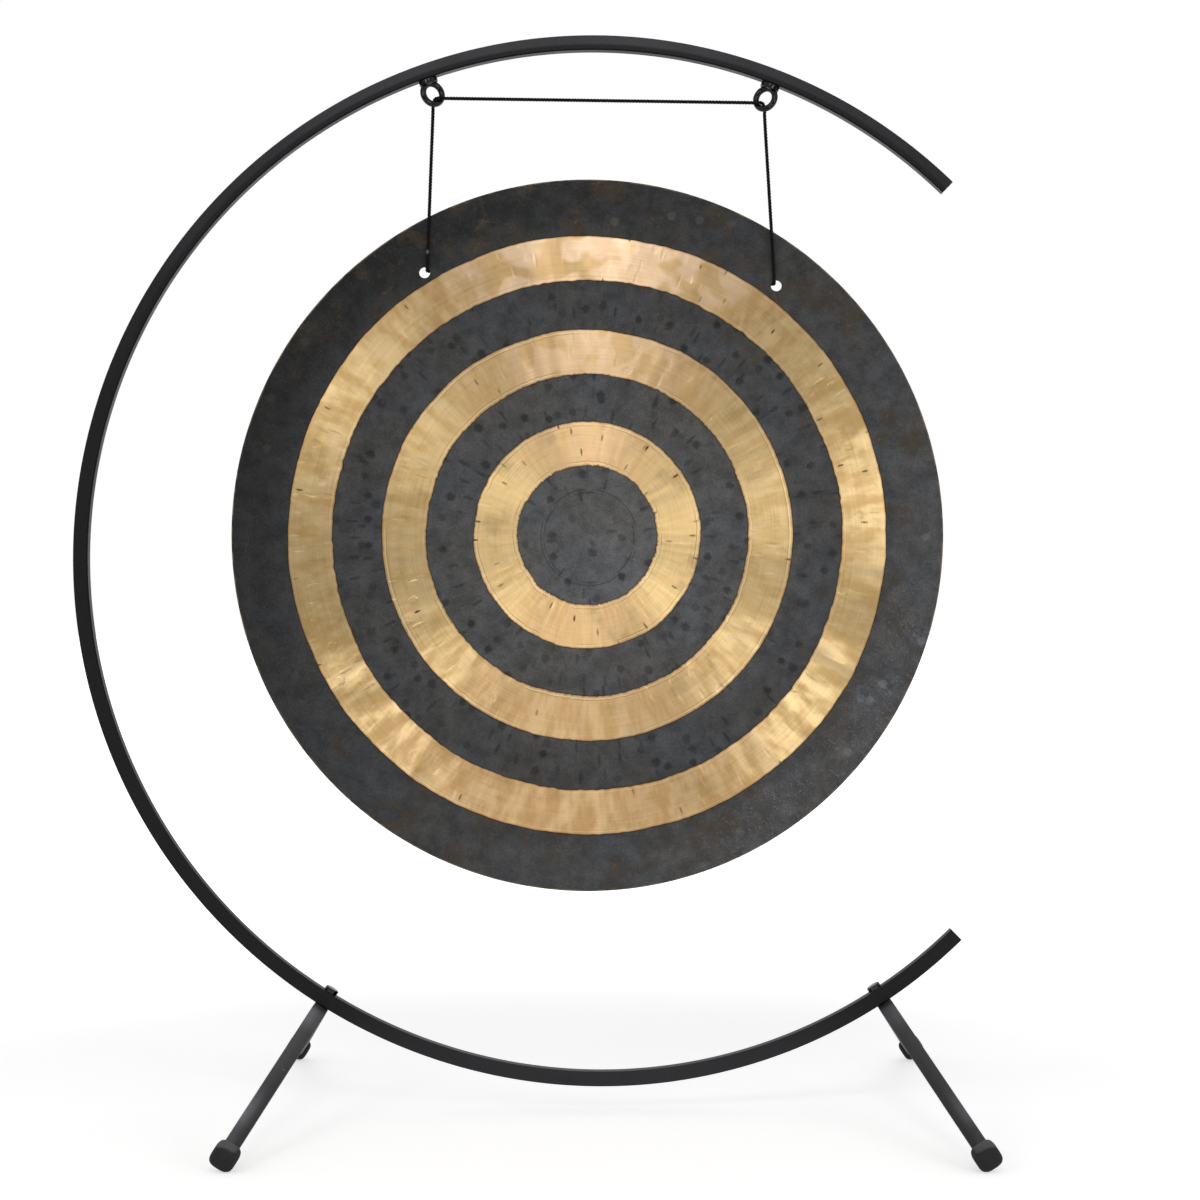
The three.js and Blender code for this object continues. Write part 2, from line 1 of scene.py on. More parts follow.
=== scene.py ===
# The gong on its stand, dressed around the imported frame. The frame is in metres. The sizes below are in
# millimetres, and each place where they turn into metres says MM. +Z is up, and the front faces -Y.
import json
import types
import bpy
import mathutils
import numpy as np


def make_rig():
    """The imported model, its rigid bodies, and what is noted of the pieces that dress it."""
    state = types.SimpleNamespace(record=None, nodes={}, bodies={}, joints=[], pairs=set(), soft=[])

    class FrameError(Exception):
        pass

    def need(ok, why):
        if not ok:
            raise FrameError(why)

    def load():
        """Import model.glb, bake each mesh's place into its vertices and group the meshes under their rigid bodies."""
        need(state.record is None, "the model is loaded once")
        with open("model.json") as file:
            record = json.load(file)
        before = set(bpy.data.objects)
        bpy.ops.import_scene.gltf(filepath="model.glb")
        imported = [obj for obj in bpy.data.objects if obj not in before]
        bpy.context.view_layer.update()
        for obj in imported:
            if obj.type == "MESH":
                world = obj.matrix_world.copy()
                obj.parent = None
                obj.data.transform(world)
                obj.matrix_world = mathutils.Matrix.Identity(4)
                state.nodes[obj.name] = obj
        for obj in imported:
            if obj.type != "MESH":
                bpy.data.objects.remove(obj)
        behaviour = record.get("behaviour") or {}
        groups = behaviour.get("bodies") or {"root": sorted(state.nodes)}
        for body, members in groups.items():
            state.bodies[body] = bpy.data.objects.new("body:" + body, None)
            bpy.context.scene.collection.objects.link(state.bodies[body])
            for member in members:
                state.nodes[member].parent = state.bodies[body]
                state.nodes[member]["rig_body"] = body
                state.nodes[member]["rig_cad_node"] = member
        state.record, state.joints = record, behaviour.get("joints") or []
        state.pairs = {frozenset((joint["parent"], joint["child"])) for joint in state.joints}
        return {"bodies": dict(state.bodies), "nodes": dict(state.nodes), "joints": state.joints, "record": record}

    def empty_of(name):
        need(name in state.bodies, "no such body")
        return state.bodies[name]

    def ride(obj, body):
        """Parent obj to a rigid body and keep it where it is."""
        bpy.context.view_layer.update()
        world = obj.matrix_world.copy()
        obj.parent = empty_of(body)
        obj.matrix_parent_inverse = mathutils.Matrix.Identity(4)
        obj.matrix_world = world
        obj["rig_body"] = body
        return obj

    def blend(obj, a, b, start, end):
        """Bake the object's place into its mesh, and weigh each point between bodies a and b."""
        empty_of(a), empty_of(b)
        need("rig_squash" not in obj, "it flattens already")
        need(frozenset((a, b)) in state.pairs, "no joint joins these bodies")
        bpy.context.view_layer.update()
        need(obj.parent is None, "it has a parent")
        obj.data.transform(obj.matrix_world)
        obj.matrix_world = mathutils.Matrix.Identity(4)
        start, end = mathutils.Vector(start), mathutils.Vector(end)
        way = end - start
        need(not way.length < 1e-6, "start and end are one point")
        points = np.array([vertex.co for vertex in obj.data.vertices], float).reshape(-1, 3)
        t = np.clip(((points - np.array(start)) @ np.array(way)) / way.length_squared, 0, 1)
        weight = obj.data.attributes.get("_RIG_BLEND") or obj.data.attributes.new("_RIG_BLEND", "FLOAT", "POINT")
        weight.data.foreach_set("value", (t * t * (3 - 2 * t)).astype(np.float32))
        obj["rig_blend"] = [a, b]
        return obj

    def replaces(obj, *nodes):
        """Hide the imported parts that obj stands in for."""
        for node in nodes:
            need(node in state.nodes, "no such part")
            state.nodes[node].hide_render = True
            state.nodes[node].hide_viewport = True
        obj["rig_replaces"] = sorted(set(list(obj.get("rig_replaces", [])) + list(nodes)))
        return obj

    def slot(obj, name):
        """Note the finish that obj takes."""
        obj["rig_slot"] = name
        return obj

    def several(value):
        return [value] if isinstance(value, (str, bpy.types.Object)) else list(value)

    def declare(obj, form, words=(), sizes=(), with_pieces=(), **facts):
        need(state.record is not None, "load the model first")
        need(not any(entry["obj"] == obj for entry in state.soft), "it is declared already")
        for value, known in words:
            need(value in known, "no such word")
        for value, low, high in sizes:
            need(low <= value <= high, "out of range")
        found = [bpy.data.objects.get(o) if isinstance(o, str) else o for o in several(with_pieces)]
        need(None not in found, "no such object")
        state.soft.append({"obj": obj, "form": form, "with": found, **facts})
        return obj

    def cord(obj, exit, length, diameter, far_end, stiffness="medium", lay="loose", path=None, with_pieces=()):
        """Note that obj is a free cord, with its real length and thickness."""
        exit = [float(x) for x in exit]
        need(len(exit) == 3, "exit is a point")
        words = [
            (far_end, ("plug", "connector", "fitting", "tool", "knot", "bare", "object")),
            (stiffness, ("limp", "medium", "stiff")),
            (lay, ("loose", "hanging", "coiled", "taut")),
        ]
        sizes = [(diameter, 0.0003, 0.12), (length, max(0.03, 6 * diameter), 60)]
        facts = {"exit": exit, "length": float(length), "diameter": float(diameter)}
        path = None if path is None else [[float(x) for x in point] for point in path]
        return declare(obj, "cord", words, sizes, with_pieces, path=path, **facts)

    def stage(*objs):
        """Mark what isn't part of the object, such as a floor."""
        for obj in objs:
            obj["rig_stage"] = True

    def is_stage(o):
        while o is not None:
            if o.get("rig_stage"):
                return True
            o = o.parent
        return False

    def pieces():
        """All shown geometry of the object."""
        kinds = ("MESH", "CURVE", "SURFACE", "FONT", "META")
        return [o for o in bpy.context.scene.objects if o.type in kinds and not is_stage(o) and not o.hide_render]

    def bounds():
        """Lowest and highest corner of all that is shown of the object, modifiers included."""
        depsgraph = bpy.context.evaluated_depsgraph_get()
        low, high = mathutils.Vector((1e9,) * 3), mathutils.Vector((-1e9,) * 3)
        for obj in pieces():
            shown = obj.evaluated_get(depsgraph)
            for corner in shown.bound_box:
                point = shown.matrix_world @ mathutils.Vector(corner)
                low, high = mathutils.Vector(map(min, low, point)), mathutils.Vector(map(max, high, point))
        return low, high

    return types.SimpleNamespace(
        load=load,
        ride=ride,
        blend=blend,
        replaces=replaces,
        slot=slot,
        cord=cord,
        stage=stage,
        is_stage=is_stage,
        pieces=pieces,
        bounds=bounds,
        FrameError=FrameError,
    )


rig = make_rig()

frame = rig.load()

import json
import math

import bmesh
import bpy
import numpy as np
from mathutils import Matrix, Vector, noise

MM = 0.001
GAP = 0.3  # air between two pieces that rest on each other
SHARP = 38  # degrees between two faces whose edge stays sharp
CORD_SHARP = 60
FLAT_WEIGHT = 80  # how much a large face sets the shading of its corners
cad_box = [list(corner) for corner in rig.bounds()]

# The ring
BAR = 12.7
BAR_EDGE = 1.0
RING_RADIUS = 446.1
RING_CENTRE = (67.92205, 468.23994)
RING_START = math.radians(136.1)
RING_SWEEP = math.radians(267.1)
RING_SAG = [(-0.0036, -0.001), (-0.0037, -0.0044), (-0.0011, -0.0012)]
RING_STEPS = 420
SAWN_END = [(0.0, 0.5), (0.15, 0.15), (0.5, 0.0)]  # how far along, and how much smaller
DRILL_PAST = 3.0
DRILL_SIDES = 32

# The eye bolts
EYE_ANGLES = {"left": math.radians(-19.4), "right": math.radians(20.05)}
EYE_TURN = math.radians(33)
EYE_LOOP = 9.0
EYE_WIRE = 2.65
EYE_HANG = 13.1
EYE_COLLAR = 8.15
EYE_COLLAR_HEIGHT = 4.6
EYE_COLLAR_FOOT = [(-1.6, 0.0), (-0.6, 0.25), (0.0, 1.0)]  # out from its side, and up from its foot
EYE_COLLAR_TOP = [(0.0, -0.6), (-0.2, -0.2), (-0.6, 0.0)]  # the same, up from its top
EYE_SHANK_END = -BAR + 9.0
SHANK_CHAMFER = 0.6

# The feet, their caps and their bolts
FOOT_ANGLES = {"left": math.radians(-148.25), "right": math.radians(147)}
FOOT_SLOPES = {"left": 0.35206176, "right": 0.3700098}
FOOT_REACH = 254.0
FOOT_FLAT = 15.0
FOOT_BEND = 25.0
FOOT_BEND_STEPS = 12
FOOT_MIDDLE = GAP + BAR / 2
FOOT_END_SHRINK = 0.06
LEG_MARK = (-0.1853, -0.1241, 0.0555)  # a small round knock on the left leg, in metres
CAP_WIDTH = 19.4
CAP_SWELL = 0.4
CAP_LENGTH = 17.0
CAP_SOCKET = 12.5
CAP_MIDDLE = (0.4, 2.0)  # half width and squareness where the skin starts and ends
# (distance along the leg from the cap's middle, half width, squareness)
CAP_TIP = [(CAP_LENGTH / 2, *CAP_MIDDLE), (8.48, 2.2, 2.1), (8.35, 4.2, 2.3)]
CAP_ROUND = (5.6, 5.7, 0.2)  # its tip's rounding: how long, how wide, and how far behind the tip
CAP_ROUND_STEPS = 7
# (distance along, how far in from the full half width, squareness)
CAP_SIDE = [(0.0, 0.0, 3.5), (-3.0, 0.0, 3.6), (-5.4, 0.5, 3.9), (-6.8, 1.2, 4.3), (-7.7, 1.9, 4.8),
            (-8.38, 2.6, 5.2), (-CAP_LENGTH / 2, 3.0, 5.5)]
CAP_SOCKET_SQUARE = 9.0
BOLT_RADIUS = 3.0
HEAD_ACROSS = 10.0
HEAD_HEIGHT = 4.0
HEX_FLAT_SHARE = 0.485  # radius of a hexagon's flat end, as a share of its size across
WASHER_RADIUS = 5.6
WASHER_HEIGHT = 1.6
WASHER_SPREAD = 0.1  # how far its two ends stand apart
WASHER_SLIT = math.radians(12)
NUT_HEIGHT = 5.0
NUT_CHAMFER = 0.4
BOLT_END = 2.0

# The gong
GONG_PLACE = (59.52205, 8.33713, 490.33994)
GONG_TURN = math.radians(2.13)
GONG_RADIUS = 305.0
GONG_THICKNESS = 1.6
GONG_DOME = 12.0
BANDS = [(59.6, 96.7), (137.5, 175.4), (218.0, 255.9)]
BAND_DEPTH = 0.25
HOLE_RADIUS = 4.65
HOLES = [(-147.509, 219.3865), (153.709, 219.3865)]
HOLE_SIDES = 48
HOLE_CUT = (-14, 6)
GONG_STEPS = 720
BAND_WALL = 0.24  # how wide the step at a band's edge is
EDGE_WAVES = [(3.1, 0), (11, 5), (46, 9)]  # (waves round the gong, seed) of how the edges stray
INNER_STRAY, OUTER_STRAY = (1.1, 0.8), (0.9, 0.45)  # a band's edges: slow and quick waves
EDGE_OFFSETS = [-3.2, -1.2, -0.12, 0.12, 1.0, 2.4, 3.4, 4.4]  # rings of points beside a band's edge
FIRST_RING = 3.0
SKIN_STEP, SKIN_MARGINS = 4.2, (6, 5)  # rings between bands, and how far from the edges they start and stop
BAND_STEP, BAND_MARGINS = 4.0, (8, 7)
RIM_RINGS = [302.5, 304.2, 304.75]
RIM_MARGIN = 4
RIM_START = 304.0
RIM_EDGE = 0.45
RIM_FALL = (0.35, 0.3)  # how much the front and the back give way, for each millimetre past its start
HAMMER_SIZES = {"broad": (70, 3.3), "waves": (26, 7.7), "patches": (90, 21.5)}  # (size, seed)
HAMMER_BROAD = 0.30
HAMMER_WAVES, HAMMER_STROKES = (0.12, 0.22), (0.11, 0.24)  # height in the middle, and more at the rim
HAMMER_PATCHES = (0.35, 1.3)
STROKES_ROUND, STROKE_LENGTH = 13, 40
CALM_MIDDLE = 20
BACK_RINGS = [304.75, 304.0, 301.0]
BACK_SHARES = (0.965, 0.93, 0.89, 0.85, 0.8, 0.75, 0.7, 0.65, 0.6, 0.55, 0.5, 0.44, 0.38, 0.32, 0.26, 0.2,
               0.14, 0.08, 0.03)  # of the last of the back rings
BACK_HAMMER = 0.9  # how much of the front's hammering shows behind
FAR_FROM_BANDS = -40.0  # what the rim and the back carry

# The gong's colours
# The skin's levels fall outwards, partly its own tone and partly painted shade
SKIN_LEVELS = [(0.0, 0.113), (0.19, 0.110), (0.34, 0.088), (0.48, 0.081), (0.62, 0.065), (0.84, 0.055),
               (1.0, 0.050)]  # (share of the radius, level)
SKIN_WARM, SKIN_COLD = (1.02, 1.0, 0.97), (0.97, 1.0, 1.06)
SKIN_BLOOM = (0.062, 0.046, 0.029)
SKIN_FLECK = (0.155, 0.085, 0.036)
SKIN_SCRATCH = (0.20, 0.20, 0.225)
RIM_BRASS = (0.26, 0.20, 0.11)
PALE_DENTS = [(257.6, -117.7), (238.9, -130.5), (247.0, -132.0), (62.0, 276.0), (13.4, 269.0), (86.0, 273.0)]
GOLD_SIDE = (0.70, 0.50, 0.235)
GOLD_UPRIGHT = (0.73, 0.485, 0.235)
GOLD_OLIVE = (0.44, 0.31, 0.13)
GOLD_PINK_HIGHLIGHT = (0.90, 0.67, 0.47)
GOLD_SCRIBED = (0.33, 0.20, 0.08)
GOLD_BURNISHED = (0.92, 0.72, 0.44)
GOLD_EDGE = (0.36, 0.17, 0.055)
GOLD_DASH = (0.115, 0.07, 0.025)
STROKE_DARK, STROKE_PALE = (0.80, 0.74, 0.66), (1.07, 1.10, 1.20)

# The cord, one closed loop
CORD_RADIUS = 1.3
CORD_LAY = 8.0
CORD_SHOWN = 1.62  # the loose strands stand out a little past the cord's nominal radius
STRAND_SHARE = 0.48  # of the cord's radius
STRAND_FLATTEN = 1.12
SWING = {"left": (-72.378, 3.137, 853.625), "right": (211.103, 3.137, 849.564)}
TILT = {"left": (-77.138, 3.137, 722.216), "right": (219.225, 3.137, 711.193)}
TOP_RUN = [
    (-72.38, 3.14, 855.22), (-72.38, 3.14, 857.57), (-72.05, 3.3, 859.53), (-71.53, 2.69, 861.29),
    (-70.71, 1.56, 862.58), (-69.51, 0.28, 863.26), (-67.93, -0.74, 863.37), (-66.08, -1.19, 863.09),
    (-57.09, -1.19, 862.96), (195.97, -1.19, 859.34), (204.97, -1.19, 859.21), (206.82, -0.74, 859.43),
    (208.4, 0.28, 859.27), (209.58, 1.56, 858.56), (210.37, 2.69, 857.25), (210.83, 3.3, 855.48),
    (211.1, 3.14, 853.51), (211.1, 3.14, 851.16),
]
BACK_RUN = [
    (219.17, 3.14, 709.59), (219.14, 3.14, 708.94), (219.27, 3.8, 707.66), (219.37, 4.55, 706.6),
    (219.42, 5.64, 705.94), (219.18, 6.86, 705.69), (218.54, 7.97, 705.72), (217.49, 8.73, 705.8),
    (216.16, 9.0, 705.74), (211.51, 9.0, 705.91), (-69.84, 9.0, 716.37), (-74.49, 9.0, 716.55),
    (-75.81, 8.73, 716.71), (-76.86, 7.97, 716.7), (-77.5, 6.86, 716.73), (-77.72, 5.64, 716.99),
    (-77.63, 4.55, 717.64), (-77.45, 3.8, 718.7), (-77.22, 3.14, 719.97), (-77.2, 3.14, 720.62),
]
KNOT = (18.16, 9.0, 713.1)
KNOT_SIZE = 1.05
KNOT_DEPTH = 1.15
KNOT_WIRE = 1.15
KNOT_LOOPS = 1.7
KNOT_STEPS = 120
KNOT_SIDES = 12
CORD_STEP = 0.7
TAIL = 24.0
TAIL_STEP = 0.6
TAIL_START, TAIL_BEND, TAIL_END = (1.0, 0, -2.0), (1.6, 0.6, 0), (5.5, 1.0, -TAIL)  # mirrored for one tail
TAIL_BALL = [(0, -1.5), (0.9, -1.2), (1.4, -0.4), (1.45, 0.3), (1.1, 1.0), (0, 1.4)]
PALE_SPECK = (-77.4, 1.8, 732.5)  # a pale speck on the left drop
PALE_SPECK_SIZE = 2.6

# The studio, in metres, degrees and watts. The sensor and the lens are in millimetres.
CAMERA_PLACE = (0.07039, -2.30635, 0.43494)
CAMERA_SENSOR = 36
CAMERA_LENS = 81.03
CAMERA_REACH = 100
FLOOR_HALF = 30
FLOOR_DROP = 0.0005
LIGHT_TARGET = Vector((0.06, 0, 0.49))
SOFTBOX_DISTANCE = 2.6
# (name, angle round the gong's axis, angle off that axis, size, power)
SOFTBOXES = [
    ("softbox_top", 88, 34, (0.6, 0.8), 5.9),
    ("softbox_left", 148, 36, (0.6, 0.7), 6.0),
    ("softbox_right", 10, 36, (1.0, 0.7), 9.4),
]
REFLECTOR_SIZE = (0.25, 0.3)
REFLECTORS = [
    ("reflector_middle", (0.015, -1.35, 0.06), 0.45),
    ("reflector_left", (-0.43, -1.7, 0.06), 1.8),
    ("reflector_right", (0.58, -1.7, 0.06), 2.2),
]


def new_object(name, data):
    made = bpy.data.objects.new(name, data)
    bpy.context.collection.objects.link(made)
    return made


# The camera

def make_camera():
    data = bpy.data.cameras.new("photo_camera")
    data.sensor_width = CAMERA_SENSOR
    data.lens = CAMERA_LENS
    data.clip_end = CAMERA_REACH
    camera = new_object("photo_camera", data)
    camera.location = CAMERA_PLACE
    camera.rotation_euler = (math.pi / 2, 0, 0)
    bpy.context.scene.camera = camera


make_camera()


# Node trees

class Value:
    """What a node gives. Where it is a number, the usual signs add the maths nodes."""

    def __init__(self, tree, socket):
        self.tree = tree
        self.socket = socket

    def __add__(self, other):
        return self.tree.maths("ADD", self, other)

    def __radd__(self, other):
        return self.tree.maths("ADD", other, self)

    def __sub__(self, other):
        return self.tree.maths("SUBTRACT", self, other)

    def __rsub__(self, other):
        return self.tree.maths("SUBTRACT", other, self)

    def __mul__(self, other):
        return self.tree.maths("MULTIPLY", self, other)

    def __truediv__(self, other):
        return self.tree.maths("DIVIDE", self, other)

    def __rtruediv__(self, other):
        return self.tree.maths("DIVIDE", other, self)

    def __pow__(self, other):
        return self.tree.maths("POWER", self, other)

    def __abs__(self):
        return self.tree.maths("ABSOLUTE", self)


class Tree:
    """Adds nodes to one node tree. What goes into a node is a number, a tuple, a Value or a socket."""

    def __init__(self, tree):
        self.tree = tree

    def add(self, kind, inputs=None, **settings):
        node = self.tree.nodes.new("ShaderNode" + kind)
        for name, value in settings.items():
            setattr(node, name, value)
        self.fill(node, inputs or {})
        return node

    def fill(self, node, inputs):
        for name, value in inputs.items():
            self.put(node.inputs[name], value)

    def put(self, socket, value):
        if isinstance(value, Value):
            value = value.socket
        if isinstance(value, bpy.types.NodeSocket):
            self.tree.links.new(value, socket)
        elif isinstance(value, tuple) and socket.type == "RGBA" and len(value) == 3:
            socket.default_value = (*value, 1)
        else:
            socket.default_value = value

    def read(self, kind, output, inputs=None, **settings):
        """One output of a new node."""
        return Value(self, self.add(kind, inputs, **settings).outputs[output])

    def maths(self, operation, first, second=0.0, clamp=False):
        return self.read("Math", 0, {0: first, 1: second}, operation=operation, use_clamp=clamp)

    def most(self, first, second):
        return self.maths("MAXIMUM", first, second)

    def vectors(self, operation, first, second=(0, 0, 0)):
        """Vector maths. A distance, a length and a dot product come out as one number."""
        output = "Value" if operation in ("DISTANCE", "DOT_PRODUCT", "LENGTH") else "Vector"
        return self.read("VectorMath", output, {0: first, 1: second}, operation=operation)

    def vector(self, x, y, z):
        return self.read("CombineXYZ", 0, {"X": x, "Y": y, "Z": z})

    def parts(self, vector):
        return [Value(self, output) for output in self.add("SeparateXYZ", {"Vector": vector}).outputs]

    def place(self):
        return self.read("TexCoord", "Object")

    def attribute(self, name):
        """A value that the mesh carries for each of its points."""
        return self.read("Attribute", "Fac", attribute_name=name)

    def ray(self, kind):
        """One for a kind of ray, and nothing for the others."""
        return self.read("LightPath", f"Is {kind} Ray")

    def span(self, value, low, high, to_low=0.0, to_high=1.0):
        """A value taken smoothly from one range to another, and held at the ends."""
        return self.read("MapRange", 0, {
            "Value": value, "From Min": low, "From Max": high, "To Min": to_low, "To Max": to_high,
        }, interpolation_type="SMOOTHSTEP")

    def vary(self, value, low, high):
        """The range that noise mostly keeps to, taken to another one."""
        return self.span(value, 0.3, 0.7, low, high)

    def between(self, share, first, second):
        return self.read("Mix", 0, {0: share, 2: first, 3: second}, data_type="FLOAT")

    def mix(self, share, first, second, blend="MIX"):
        """A colour between two others."""
        return self.read("Mix", 2, {0: share, 6: first, 7: second}, data_type="RGBA", blend_type=blend,
                         clamp_factor=True)

    def shade(self, colour, value):
        """A colour made lighter or darker by a value."""
        return self.mix(1.0, colour, self.read("CombineColor", 0, {0: value, 1: value, 2: value}), "MULTIPLY")

    def noise(self, vector, scale, detail=2.0, roughness=0.5):
        return self.read("TexNoise", "Fac", {
            "Vector": vector, "Scale": scale, "Detail": detail, "Roughness": roughness,
        })

    def bump(self, height, strength, distance):
        return self.read("Bump", 0, {"Height": height, "Strength": strength, "Distance": distance})


def make_group(name, inputs, outputs, build):
    """A shared effect. Inputs are (name, type, value) and outputs are (name, type)."""
    group = bpy.data.node_groups.new(name, "ShaderNodeTree")
    for label, kind, value in inputs:
        socket = group.interface.new_socket(label, in_out="INPUT", socket_type="NodeSocket" + kind)
        socket.default_value = value
    for label, kind in outputs:
        group.interface.new_socket(label, in_out="OUTPUT", socket_type="NodeSocket" + kind)
    tree = Tree(group)
    given = {socket.name: Value(tree, socket) for socket in group.nodes.new("NodeGroupInput").outputs}
    tree.fill(group.nodes.new("NodeGroupOutput"), build(tree, given))
    return group


def build_paint_coat(tree, given):
    """Paint on steel: a fine orange-peel skin, slow cloudiness and scattered scuffs."""
    place = tree.place()
    peel = tree.noise(place, given["Grain Scale"], 3.0, 0.6)
    cloud = tree.noise(place, 14.0, 3.0, 0.55)
    scuff = tree.noise(place, 160.0, 4.0, 0.7)
    rub = tree.span(scuff, 0.60, 0.74) * given["Scuffs"]
    body = tree.shade(given["Colour"], tree.vary(cloud, 0.86, 1.14) + tree.vary(peel, -0.1, 0.1))
    rough = given["Roughness"] + tree.vary(cloud, -0.05, 0.05)
    return {
        "Colour": tree.mix(rub, body, given["Scuff Colour"]),
        "Roughness": tree.maths("ADD", rough, rub * 0.25, clamp=True),
        "Height": peel,
    }


paint_coat = make_group("paint_coat", [
    ("Colour", "Color", (0.03, 0.03, 0.03, 1)),
    ("Scuff Colour", "Color", (0.1, 0.1, 0.1, 1)),
    ("Scuffs", "Float", 0.3),
    ("Grain Scale", "Float", 900.0),
    ("Roughness", "Float", 0.4),
], [("Colour", "Color"), ("Roughness", "Float"), ("Height", "Float")], build_paint_coat)


def new_material(name):
    material = bpy.data.materials.new(name)
    material.use_nodes = True
    tree = Tree(material.node_tree)
    material.node_tree.nodes.clear()
    shader = tree.add("BsdfPrincipled")
    tree.add("OutputMaterial", {"Surface": shader.outputs[0]})
    return material, tree, shader


def coated(name, colour, scuff_colour, scuffs, grain, roughness, bump, specular, painted_light=None):
    """A material of the shared paint coat. Painted light gives the share of the colour that each place keeps, as
    painted highlight and shade.
    """
    material, tree, shader = new_material(name)
    if painted_light:
        colour = tree.shade(colour, painted_light(tree, *tree.parts(tree.place())))
    coat = tree.add("Group", {}, node_tree=paint_coat)
    tree.fill(coat, {
        "Colour": colour, "Scuff Colour": scuff_colour, "Scuffs": scuffs, "Grain Scale": grain,
        "Roughness": roughness,
    })
    tree.fill(shader, {
        "Base Color": coat.outputs["Colour"],
        "Roughness": coat.outputs["Roughness"],
        "Normal": tree.bump(coat.outputs["Height"], 0.5, bump * MM),
        "Specular IOR Level": specular,
    })
    return material


def ring_painted_light(tree, x, y, z):
    """Painted light on the ring's paint: a painted highlight on the outer half at the top and a little at the bottom,
    and painted shade at its edges. The mesh carries the depth from the ring's outer face in millimetres. The heights
    are in metres."""
    depth = tree.attribute("depth")
    start, height, lean, curve, strength = 0.56, 0.35, 0.08, 2.3, 4.5
    # Painted highlight on the outer half towards the top, and a little at the bottom
    rise = tree.most((z - x * lean - start) / height, 0.0)
    top = rise ** curve * strength * tree.span(depth, 9.2, 6.4, 0.16, 1.0)
    bottom_light = tree.span(z, 0.10, 0.028, 0.0, 1.8)
    # Painted shade along the inner edge in the upper part, and along the outer edge
    inner_edge_shade = tree.span(depth, 11.2, 11.7) * tree.span(depth, 12.70, 12.64)
    inner_edge_shade = inner_edge_shade * tree.span(z, 0.24, 0.40, 0.0, 0.95)
    outer_edge_shade = tree.span(depth, 0.9, 0.3, 0.0, 0.5)
    return (1.0 + top + bottom_light) * (1.0 - inner_edge_shade - outer_edge_shade)


def foot_painted_light(tree, x, y, z):
    """Painted light on the feet: painted highlights at their bends and near their caps, each leg painted lighter
    towards its upper side and darker at its lower edge, and the right leg a little darker. The mesh carries the
    place across a leg in millimetres, positive on the upper side. The places along it are in metres."""
    upper = tree.attribute("upper")
    along = abs(y)
    # Painted highlights at the bend near the ring, and low on the leg near the cap
    bend = tree.span(along, 0.016, 0.033) * tree.span(along, 0.066, 0.040, 0.0, 1.7)
    low = tree.span(along, 0.150, 0.198) * tree.span(along, 0.228, 0.203, 0.5, 2.1)
    low = low * tree.span(upper, -5.0, 4.0, 0.15, 1.15)
    streaks = tree.noise(tree.vector(upper, y * 24.0, 0.0), 1.0, 4.0, 0.65)
    # Painted shade: darker to the right, lighter on the upper side and darker at the lower edge
    shade_to_the_right = tree.span(x, -0.16, 0.3, 1.0, 0.57)
    lit_upwards = tree.span(upper, -5.5, 5.5, 0.68, 1.75)
    lower_edge_shade = tree.span(upper, -5.4, -6.1, 1.0, 0.55)
    painted_shine = (1.0 + (bend + low)) * shade_to_the_right * lit_upwards * lower_edge_shade * tree.vary(streaks, 0.84, 1.16)
    knock = tree.vectors("DISTANCE", tree.vector(x, y, z), LEG_MARK)
    return painted_shine + tree.span(knock, 0.0021, 0.0011, 0.0, 1.6)


def cap_painted_highlight(tree, x, y, z):
    """A painted highlight on the side of a cap that looks up."""
    up = tree.parts(tree.read("TexCoord", "Normal"))[2]
    return tree.span(up, 0.45, 0.85, 1.0, 5.0)


# Name, colour, scuff colour, scuffs, grain, roughness, bump in millimetres, specular and its painted light and shade
ring_paint = coated("ring_paint", (0.0098, 0.0098, 0.0108), (0.03, 0.03, 0.033), 0.2, 1500.0, 0.48, 0.015,
                    0.13, ring_painted_light)
foot_paint = coated("foot_paint", (0.028, 0.028, 0.032), (0.085, 0.085, 0.09), 0.5, 1000.0, 0.45, 0.05, 0.25,
                    foot_painted_light)
eye_paint = coated("eye_paint", (0.0015, 0.0015, 0.002), (0.02, 0.02, 0.02), 0.1, 1800.0, 0.09, 0.0005, 0.32)
bolt_black = coated("bolt_black", (0.007, 0.007, 0.009), (0.05, 0.05, 0.055), 0.4, 1600.0, 0.24, 0.006, 0.32)
cap_rubber = coated("cap_rubber", (0.020, 0.020, 0.0205), (0.04, 0.04, 0.04), 0.3, 700.0, 0.75, 0.08, 0.2,
                    cap_painted_highlight)


def make_braid_material():
    """Black braided yarn: fine fibres, a soft sheen, a few pale flecks and the pale speck that the mesh carries."""
    material, tree, shader = new_material("cord_braid")
    place = tree.place()
    fibre = tree.noise(place, 2600.0, 3.0, 0.7)
    fleck = tree.span(tree.noise(place, 900.0, 1.0), 0.72, 0.78)
    colour = tree.shade((0.0045, 0.0045, 0.005), tree.vary(fibre, 0.6, 1.5))
    colour = tree.mix(fleck * 0.35, colour, (0.12, 0.12, 0.12))
    tree.fill(shader, {
        "Base Color": tree.mix(tree.attribute("fluff"), colour, (0.30, 0.30, 0.30)),
        "Roughness": tree.vary(fibre, 0.55, 0.8),
        "Normal": tree.bump(fibre, 0.6, 0.1 * MM),
        "Specular IOR Level": 0.15,
    })
    return material


cord_braid = make_braid_material()


